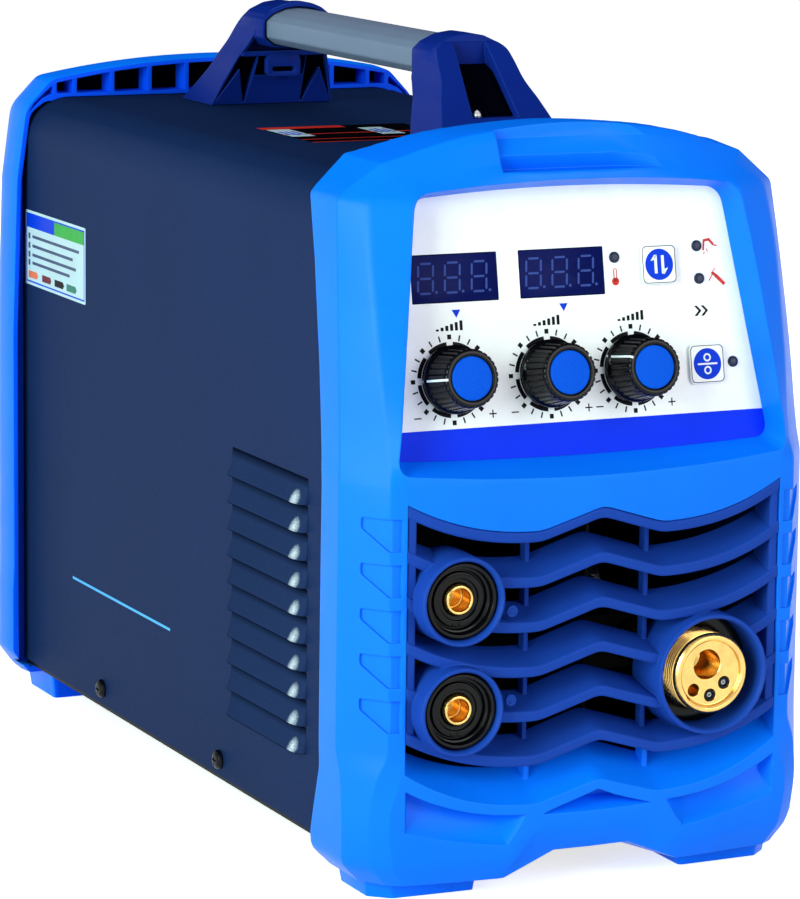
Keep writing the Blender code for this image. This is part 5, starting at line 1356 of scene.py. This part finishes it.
def rear_frame():
    rings = []
    for y, g in ((REAR_LIP, -0.9), (REAR_LIP + 0.3, -0.3), (REAR_LIP + 1.0, 0.0),
                 (REAR_LIP + 8, 0.5), (REAR_LIP + 14, 0.8), (408.0, 0.2), (413.0, -2.0),
                 (417.5, -4.8), (421.0, -7.0), (423.2, -8.9), (423.8, -10.0), (REAR_Y, -11.2)):
        rings.append([(x, y, z) for x, z in rear_outline(g)])
    body = loft("rear_frame_body", rings)
    w = 103.9
    side = fillet([(-w, 13), (w, 13), (w, 60), (w, 173), (w - 2.2, 245), (w - 6.5, 276),
                   (w - 14, 281.6), (-w + 14, 281.6), (-w + 6.5, 276), (-w + 2.2, 245),
                   (-w, 173), (-w, 60)], [4, 4, 8, 30, 30, 8, 8, 8, 8, 30, 30, 8], 5)
    view = [[(x, y, z) for x, z in rounded(0, 147, 88 + g, 122 + g, 10 + g, 10)]
            for y, g in ((405.0, 0.0), (421.0, 0.0), (422.8, 0.4), (423.8, 1.4), (424.2, 2.6),
                         (440.0, 2.6))]
    tools = [prism("side_gap", side, "Y", 380.0, COVER_REAR + 2),
             prism("cover_space", u_outline(COVER_HALF + 0.3, COVER_TOP + 0.3, 20.3, 12.0),
                   "Y", 380.0, COVER_REAR + 1),
             prism("seat", rear_seat(0.3), "Y", COVER_REAR + 1, 410.9), loft("view", view)]
    tools += [prism("pocket", shape, "Y", 380.0, 405.0) for shape in rear_pockets(0.0)]
    cut(body, tools)
    feet = []
    for s in (1, -1):
        low = fillet([(47, 382), (88, 382), (88, 416), (47, 416)], 2.5, 4)
        high = fillet([(46, 380), (90, 380), (90, 418), (46, 418)], 2.5, 4)
        feet.append(loft("foot", [[(s * x, y, FLOOR) for x, y in low],
                                  [(s * x, y, 12.0) for x, y in high]]))
    cut(body, feet, "UNION")
    paint_inner_shade(settle(body, [AZURE, AZURE_SHADED], "rear_frame"))
    # Black blocks at the back of the arch pockets are painted shade.
    deep = [prism("deep", shape, "Y", 399.5, 404.9) for shape in rear_pockets(0.1)]
    settle(join("rear_pocket_painted_shade", deep), SHADE_BLACK, slot="rear_frame")


def rear_panel():
    y0, y1, y2 = 409.0, 410.6, 410.9
    panel = prism("rear_sheet", rear_seat(0.0), "Y", y0, y1)
    tools = []
    for k in range(-4, 5):
        h = math.sqrt((FAN_R - 2) ** 2 - (k * 9.0) ** 2)
        tools.append(prism("slot", rounded(FAN_X + k * 9.0, FAN_Z, 2.2, h, 2.15, 8), "Y", y0 - 9, y1 + 9))
    tools.append(prism("switch_hole", rounded(SWITCH_X, SWITCH_Z, 14.9, 11.5, 1.0), "Y", 400, 420))
    for x, z, hole in ((GLAND_X, GLAND_Z, 8.9), (NIPPLE_X, NIPPLE_Z, 5.3)):
        tools.append(rod("hole", hole, 400, 420, (x, 0, z)))
    cut(panel, tools)
    dome = [(FAN_R + 4.4, y1 - 0.2), (FAN_R + 5.4, y1 + 0.5), (FAN_R + 4.4, y1 + 0.9),
            (FAN_R + 2.6, y1 + 0.5)]
    ring = lathe("fan_bead", fillet(dome, 0.3, 3), (FAN_X, 0, FAN_Z), segments=96)
    settle(join("rear_sheet_pressed", [panel, ring]), COVER, "rear_panel")
    body = prism("switch_frame", rounded(SWITCH_X, SWITCH_Z, 17.0, 13.4, 1.8), "Y", y2, y2 + 2.5)
    body = bevel(body, 0.5, 3)
    rear = prism("rear", rounded(SWITCH_X, SWITCH_Z, 14.6, 11.2, 1.0), "Y", y2 - 21, y2 + 1)
    cut(body, [rear], "UNION")
    cut(body, [prism("well", rounded(SWITCH_X, SWITCH_Z, 12.2, 9.4, 0.8), "Y", y2 - 13, y2 + 9)])
    settle(body, BLACK, "switch_body")
    z = SWITCH_Z
    pts = fillet([(y2 - 7, z - 6.5), (y2 + 0.5, z - 8.0), (y2 + 2.6, z - 8.0), (y2 + 4.4, z - 6.6),
                  (y2 + 2.5, z), (y2 + 5.2, z + 7.6), (y2 + 3.5, z + 8.0), (y2 + 0.5, z + 8.0),
                  (y2 - 7, z + 6.5)], [.5, .5, .5, .8, 8, .8, .5, .5, .5], 5)
    rocker = prism("rocker", pts, "X", SWITCH_X - 11.7, SWITCH_X + 11.7)
    settle(bevel(rocker, 0.3, 2, 50), ROCKER, "switch_rocker", body="switch_rocker")
    gland = fillet([(4.5, y2 - 13), (8.6, y2 - 13), (8.6, y2), (12.0, y2), (12.0, y2 + 5.1),
                    (10.0, y2 + 8.1), (8.0, y2 + 11.1), (4.5, y2 + 11.1)],
                   [0, 0, 0, .4, .8, 1.2, 1.0, .6], 5)
    nut = fluted("nut", [(4.6, y2, 0), (12.0, y2, 1), (12.0, y2 + 4.8, 1), (11.0, y2 + 5.6, 0),
                         (4.6, y2 + 5.6, 0)], 12, 0.7)
    move(nut, Matrix.Translation((GLAND_X, 0, GLAND_Z)))
    settle(join("gland_nut", [lathe("gland", gland, (GLAND_X, 0, GLAND_Z)), nut]), BLACK, "cable_gland")
    tail = fillet([(2.0, y2 - 15), (5.0, y2 - 15), (5.0, y2), (8.0, y2), (8.0, y2 + 3.6),
                   (4.6, y2 + 4.1), (5.6, y2 + 6.7), (4.7, y2 + 8.6), (5.2, y2 + 9.2),
                   (3.6, y2 + 12.1), (2.0, y2 + 12.1)], [0, 0, 0, .3, .5, .4, .4, .3, .3, .4, .2], 4)
    corners = [math.radians(60 * k + 30) for k in range(6)]
    hexagon = prism("hexagon", [(NIPPLE_X + 8.3 * math.cos(a), NIPPLE_Z + 8.3 * math.sin(a))
                                for a in corners], "Y", y2, y2 + 3.2)
    tail = lathe("tail", tail, (NIPPLE_X, 0, NIPPLE_Z))
    settle(join("nipple_tail", [tail, bevel(hexagon, 0.4, 2)]), BRASS, "gas_nipple")


rear_frame()
rear_panel()


# -------------------------------------------------------------------- handle
BAR_OUTLINE = [(15.5, 316.5), (15.5, 323.7), (12.0, 326.5), (6.0, 328.7), (0.0, 329.3),
               (-6.0, 328.7), (-12.0, 326.5), (-15.5, 323.7), (-15.5, 316.5), (-11.0, 313.0),
               (11.0, 313.0)]


def bar_outline(grow):
    """Section of the grip bar, rounded, enlarged by grow."""
    pts = []
    for x, z in BAR_OUTLINE:
        d = math.hypot(x, z - 320.0)
        pts.append((x * (1 + grow / d), 320.0 + (z - 320.0) * (1 + grow / d)))
    return fillet(pts, [1.6, 1.4, 5, 8, 8, 8, 5, 1.4, 1.6, 3.0, 3.0], 5)


def support(sign):
    """Leg of the handle: sign is -1 in front and 1 at the rear."""
    z0 = COVER_TOP + 0.3

    def at(*ds):
        places = [HANDLE_Y + sign * d for d in ds]
        return sorted(places) if len(places) > 1 else places[0]

    if sign < 0:
        side = fillet([(141, z0), (128, 298.5), (101.5, 327.6), (98.5, 329.4), (92, 330.6),
                       (86.5, 331.0), (85.2, 329.0), (85.2, 313.0), (95, 305), (108, z0)],
                      [0, 60, 3, 8, 20, 1.0, 1, 4, 12, 0], 8)
        crown = [(12.2, 328.6), (6.0, 330.4), (0.0, 331.0)]
    else:
        side = fillet([(141, z0), (121, 299), (113, 313), (101, 325), (90, 330.6),
                       (80, 332.6), (75.6, 332.8), (77.2, 327.5), (84.0, 318), (93, 307),
                       (106, z0)], [0, 60, 50, 50, 40, 20, 0, 6, 30, 12, 0], 10)
        crown = [(12.2, 329.4), (6.0, 331.8), (0.0, 332.6)]
    half = [(30.4, z0 - 1), (26.5, 295), (22.4, 306), (19.0, 313), (17.9, 320), (16.6, 325.6)] + crown
    body = prism("support", [(at(d), z) for d, z in side], "X", -40, 40, 30)
    face = fillet(half + [(-x, z) for x, z in half[-2::-1]],
                  [0, 30, 30, 20, 10, 6, 14, 20, 24, 20, 14, 6, 10, 20, 30, 30, 0], 8)
    cut(body, [prism("face", face, "Y", 60, 400, 30)], "INTERSECT")
    hollow = [(18.9, 308.8), (17.2, 313.5), (15.8, 320), (13.0, 326), (-13.0, 326),
              (-15.8, 320), (-17.2, 313.5), (-18.9, 308.8)]
    ends = at(70.0, 103.0 if sign > 0 else 90.0)
    tools, deep = [prism("hollow", fillet(hollow, 1.0, 3), "Y", *ends)], []
    if sign < 0:
        mouth = [(-10.6, 298.7), (10.6, 298.7), (7.4, 328.3), (-7.4, 328.3)]
        tools.append(prism("pocket", fillet(mouth, 0.5, 2), "Y", *at(160.0, 93.6)))
        floor = [(at(d), z) for d, z in ((122.5, 298.9), (106.5, 316.0), (93.8, 321.5),
                                         (93.8, 298.9))]
        # Painted shade: dark block lining the lower part of the pocket.
        dark = prism("dark", floor, "X", -12, 12)
        inner = [(-10.3, 298.8), (10.3, 298.8), (7.2, 328.1), (-7.2, 328.1)]
        cut(dark, [prism("inner", inner, "Y", 60, 200)], "INTERSECT")
        deep.append(dark)
    else:
        back = [(at(d), z) for d, z in ((110.0, z0 + 0.6), (96.0, 306.4), (115.8, 306.4),
                                        (115.8, z0 + 0.6))]
        for s in (1, -1):
            space = [(s * x, z) for x, z in ((11.9, 306.6), (21.3, 306.6), (28.9, z0 + 1.2),
                                             (20.0, 300.3), (14.8, z0 + 1.0), (14.0, z0 + 1.0))]
            tools.append(prism("cavity", space, "Y", *at(70, 116)))
            # Painted shade: dark block at the back of each cavity.
            dark = prism("dark", back, "X", s * 11.9, s * 29.0)
            cut(dark, [prism("space", space, "Y", 300, 350)], "INTERSECT")
            deep.append(dark)
        tools.append(prism("notch", [(-11.9, 297.2), (11.9, 297.2), (11.9, 306.6),
                                     (-11.9, 306.6)], "Y", *at(70, 106)))
        # Painted shade: dark block at the back of the notch.
        deep.append(slab("dark", (-11.9, 11.9), at(101.0, 106.0), (297.3, 306.5)))
    cut(body, tools)
    collar = bevel(prism("collar", bar_outline(2.4), "Y",
                         *at(75.4 if sign > 0 else 82.6, 100.0)), 0.6, 3, 50)
    cut(body, [collar], "UNION")
    cut(body, [prism("bar_seat", bar_outline(0.3), "Y", *at(60.0, 92.0)),
               prism("bar_gap", bar_outline(1.1), "Y", *at(60.0, 79.0 if sign > 0 else 85.0))])
    parts = [body]
    if sign > 0:
        shelf = slab("shelf", (-20.6, 20.6), at(92.0, 104.0), (306.4, 308.6), 0.4)
        tab = prism("tab", rounded(0, 301.9, 8.4, 5.0, 2.6, 8), "Y", *at(92.2, 95.2))
        cut(tab, [prism("slot", rounded(0, 300.3, 5.6, 1.15, 1.1, 8), "Y", *at(80, 110))])
        parts += [shelf, bevel(tab, 0.5, 3)]
    tag = "front" if sign < 0 else "rear"
    settle(join("handle_leg_" + tag, parts), NAVY, "handle_support_" + tag)
    # The dark pieces in the pocket, cavities and notch of the leg are painted shade.
    settle(join("handle_painted_shade_" + tag, deep), SHADE_BLACK, slot="handle_support_" + tag)
    if sign < 0:
        head = fillet([(0, 298.8), (1.9, 298.8), (1.9, 300.2), (0.9, 301.6), (0, 302.2)],
                      [0, 0.2, 0.4, 0.4, 0], 3)
        settle(lathe("support_screw", head, (-7.4, at(124.6), 0), "Z", 40), STEEL,
               slot="handle_support_front")


bar = prism("grip_bar", bar_outline(0.0), "Y", 133.5, 315.5)
settle(bar, BAR, "handle_bar")
support(-1)
support(1)


# ------------------------------------------------------- wire compartment
def spool_dressing():
    """Wound wire between the flanges, raised hub rings and spokes on the outer flange."""
    x0, x1 = 39.2, SPOOL_FACE - 4.2
    turns = int((x1 - x0) / 1.6)
    points = [(53.9, x0)]
    for k in range(turns):
        for i in range(5):
            t = (k + (i + 0.5) / 5) / turns
            points.append((83.4 + 0.7 * math.sin(math.pi * (i + 0.5) / 5), x0 + (x1 - x0) * t))
    points.append((53.9, x1))
    settle(lathe("wound_wire", points, (0, *SPOOL_AT), "X", 72), WIRE,
           body="wire_spool", slot="wire_spool")
    rings = [lathe("ring", fillet([(r, SPOOL_FACE - 0.1), (r + 2.0, SPOOL_FACE - 0.1),
                                   (r + 1.6, SPOOL_FACE + 1.2), (r + 0.4, SPOOL_FACE + 1.2)],
                                  0.3, 2), (0, *SPOOL_AT), "X", 72)
             for r in (28.0, SPOOL_RADIUS - 3.0)]
    for k in range(6):
        spoke = slab("spoke", (SPOOL_FACE - 0.1, SPOOL_FACE + 1.0), (-1.6, 1.6),
                     (29.0, SPOOL_RADIUS - 2.5), 0.4)
        move(spoke, Matrix.Translation((0, *SPOOL_AT))
             @ Matrix.Rotation(math.pi * k / 3, 4, "X"))
        rings.append(spoke)
    settle(join("spool_ribs", rings), BLACK, body="wire_spool", slot="wire_spool")


spool_dressing()


# ----------------------------------------------------------- camera and light
def camera():
    """Three-quarter view from the front, a little above the machine."""
    azimuth, elevation, roll = (math.radians(a) for a in CAMERA_ANGLES)
    back = Vector((math.sin(azimuth) * math.cos(elevation), -math.cos(azimuth) * math.cos(elevation),
                   math.sin(elevation)))
    right = Vector((math.cos(azimuth), math.sin(azimuth), 0))
    up = back.cross(right)
    across = right * math.cos(roll) + up * math.sin(roll)
    upward = up * math.cos(roll) - right * math.sin(roll)
    data = bpy.data.cameras.new("camera")
    data.sensor_width, data.sensor_height, data.sensor_fit = SENSOR, SENSOR, "VERTICAL"
    data.lens = LENS_LENGTH
    data.clip_start, data.clip_end = 0.05, 50.0
    cam = bpy.data.objects.new("camera", data)
    bpy.context.scene.collection.objects.link(cam)
    place = Vector(CAMERA_PLACE) * MM + SHIFT
    cam.matrix_world = Matrix(((across.x, upward.x, back.x, place.x),
                               (across.y, upward.y, back.y, place.y),
                               (across.z, upward.z, back.z, place.z), (0, 0, 0, 1)))
    bpy.context.scene.camera = cam


def area(name, place, aim, size, power, colour=(1, 1, 1)):
    data = bpy.data.lights.new(name, "AREA")
    data.shape, data.size, data.size_y = "RECTANGLE", *size
    data.energy, data.color = power, colour
    lamp = bpy.data.objects.new(name, data)
    lamp.location = place
    lamp.rotation_euler = (Vector(aim) - Vector(place)).to_track_quat("-Z", "Y").to_euler()
    bpy.context.scene.collection.objects.link(lamp)


def seen_ray(tree):
    """1 for camera, glossy and transmission rays, which see the plain background."""
    path = tree.nodes.new("ShaderNodeLightPath")
    total = path.outputs["Is Camera Ray"]
    for name in ("Is Glossy Ray", "Is Transmission Ray"):
        add = tree.nodes.new("ShaderNodeMath")
        add.operation = "MAXIMUM"
        tree.links.new(total, add.inputs[0])
        tree.links.new(path.outputs[name], add.inputs[1])
        total = add.outputs[0]
    return total


def backdrop():
    """White floor that keeps a soft shadow, under a plain white world."""
    world = bpy.data.worlds.new("studio")
    bpy.context.scene.world = world
    world.use_nodes = True
    tree = world.node_tree
    tree.nodes.clear()
    out = tree.nodes.new("ShaderNodeOutputWorld")
    seen, fill = tree.nodes.new("ShaderNodeBackground"), tree.nodes.new("ShaderNodeBackground")
    seen.inputs[0].default_value = (1.0, 1.0, 1.0, 1.0)
    fill.inputs[0].default_value = (0.95, 0.97, 1.0, 1.0)
    fill.inputs[1].default_value = WORLD_FILL
    mix = tree.nodes.new("ShaderNodeMixShader")
    tree.links.new(seen_ray(tree), mix.inputs[0])
    tree.links.new(fill.outputs[0], mix.inputs[1])
    tree.links.new(seen.outputs[0], mix.inputs[2])
    tree.links.new(mix.outputs[0], out.inputs[0])
    reach = 30000
    corners = [(-reach, -reach, FLOOR), (reach, -reach, FLOOR), (reach, reach, FLOOR),
               (-reach, reach, FLOOR)]
    floor = build("floor", corners, [(0, 1, 2, 3)])
    move(floor, Matrix.Translation(SHIFT) @ Matrix.Scale(MM, 4))
    m = Nodes("paper")
    m.link(m.mix(m.remap(m.noise(0.004, 3.0), 0.3, 0.7, 0.0, 1.0), (0.86, 0.86, 0.86),
                 (0.90, 0.90, 0.90)), m.shader.inputs["Base Color"])
    m.set(Roughness=0.8, Specular_IOR_Level=0.0, Emission_Color=(1, 1, 1, 1))
    glow = m.node("Math", operation="MULTIPLY")
    glow.inputs[1].default_value = FLOOR_GLOW
    m.link(seen_ray(m.tree), glow.inputs[0])
    m.link(glow.outputs[0], m.shader.inputs["Emission Strength"])
    floor.data.materials.append(m.material)


bpy.context.scene.view_settings.view_transform = "Standard"
camera()
area("key", (-1.9, -0.9, 0.75), (0, 0, 0.15), (1.2, 1.4), 50, (0.82, 1.12, 1.0))
area("front", (0.9, -2.2, 1.0), (0, 0, 0.15), (1.4, 1.4), 26)
area("top", (0.2, 0.3, 1.9), (0, 0, 0.2), (1.6, 1.6), 4)
area("rim", (0.9, 1.9, 1.1), (0, 0, 0.2), (1.2, 1.0), 14)
backdrop()
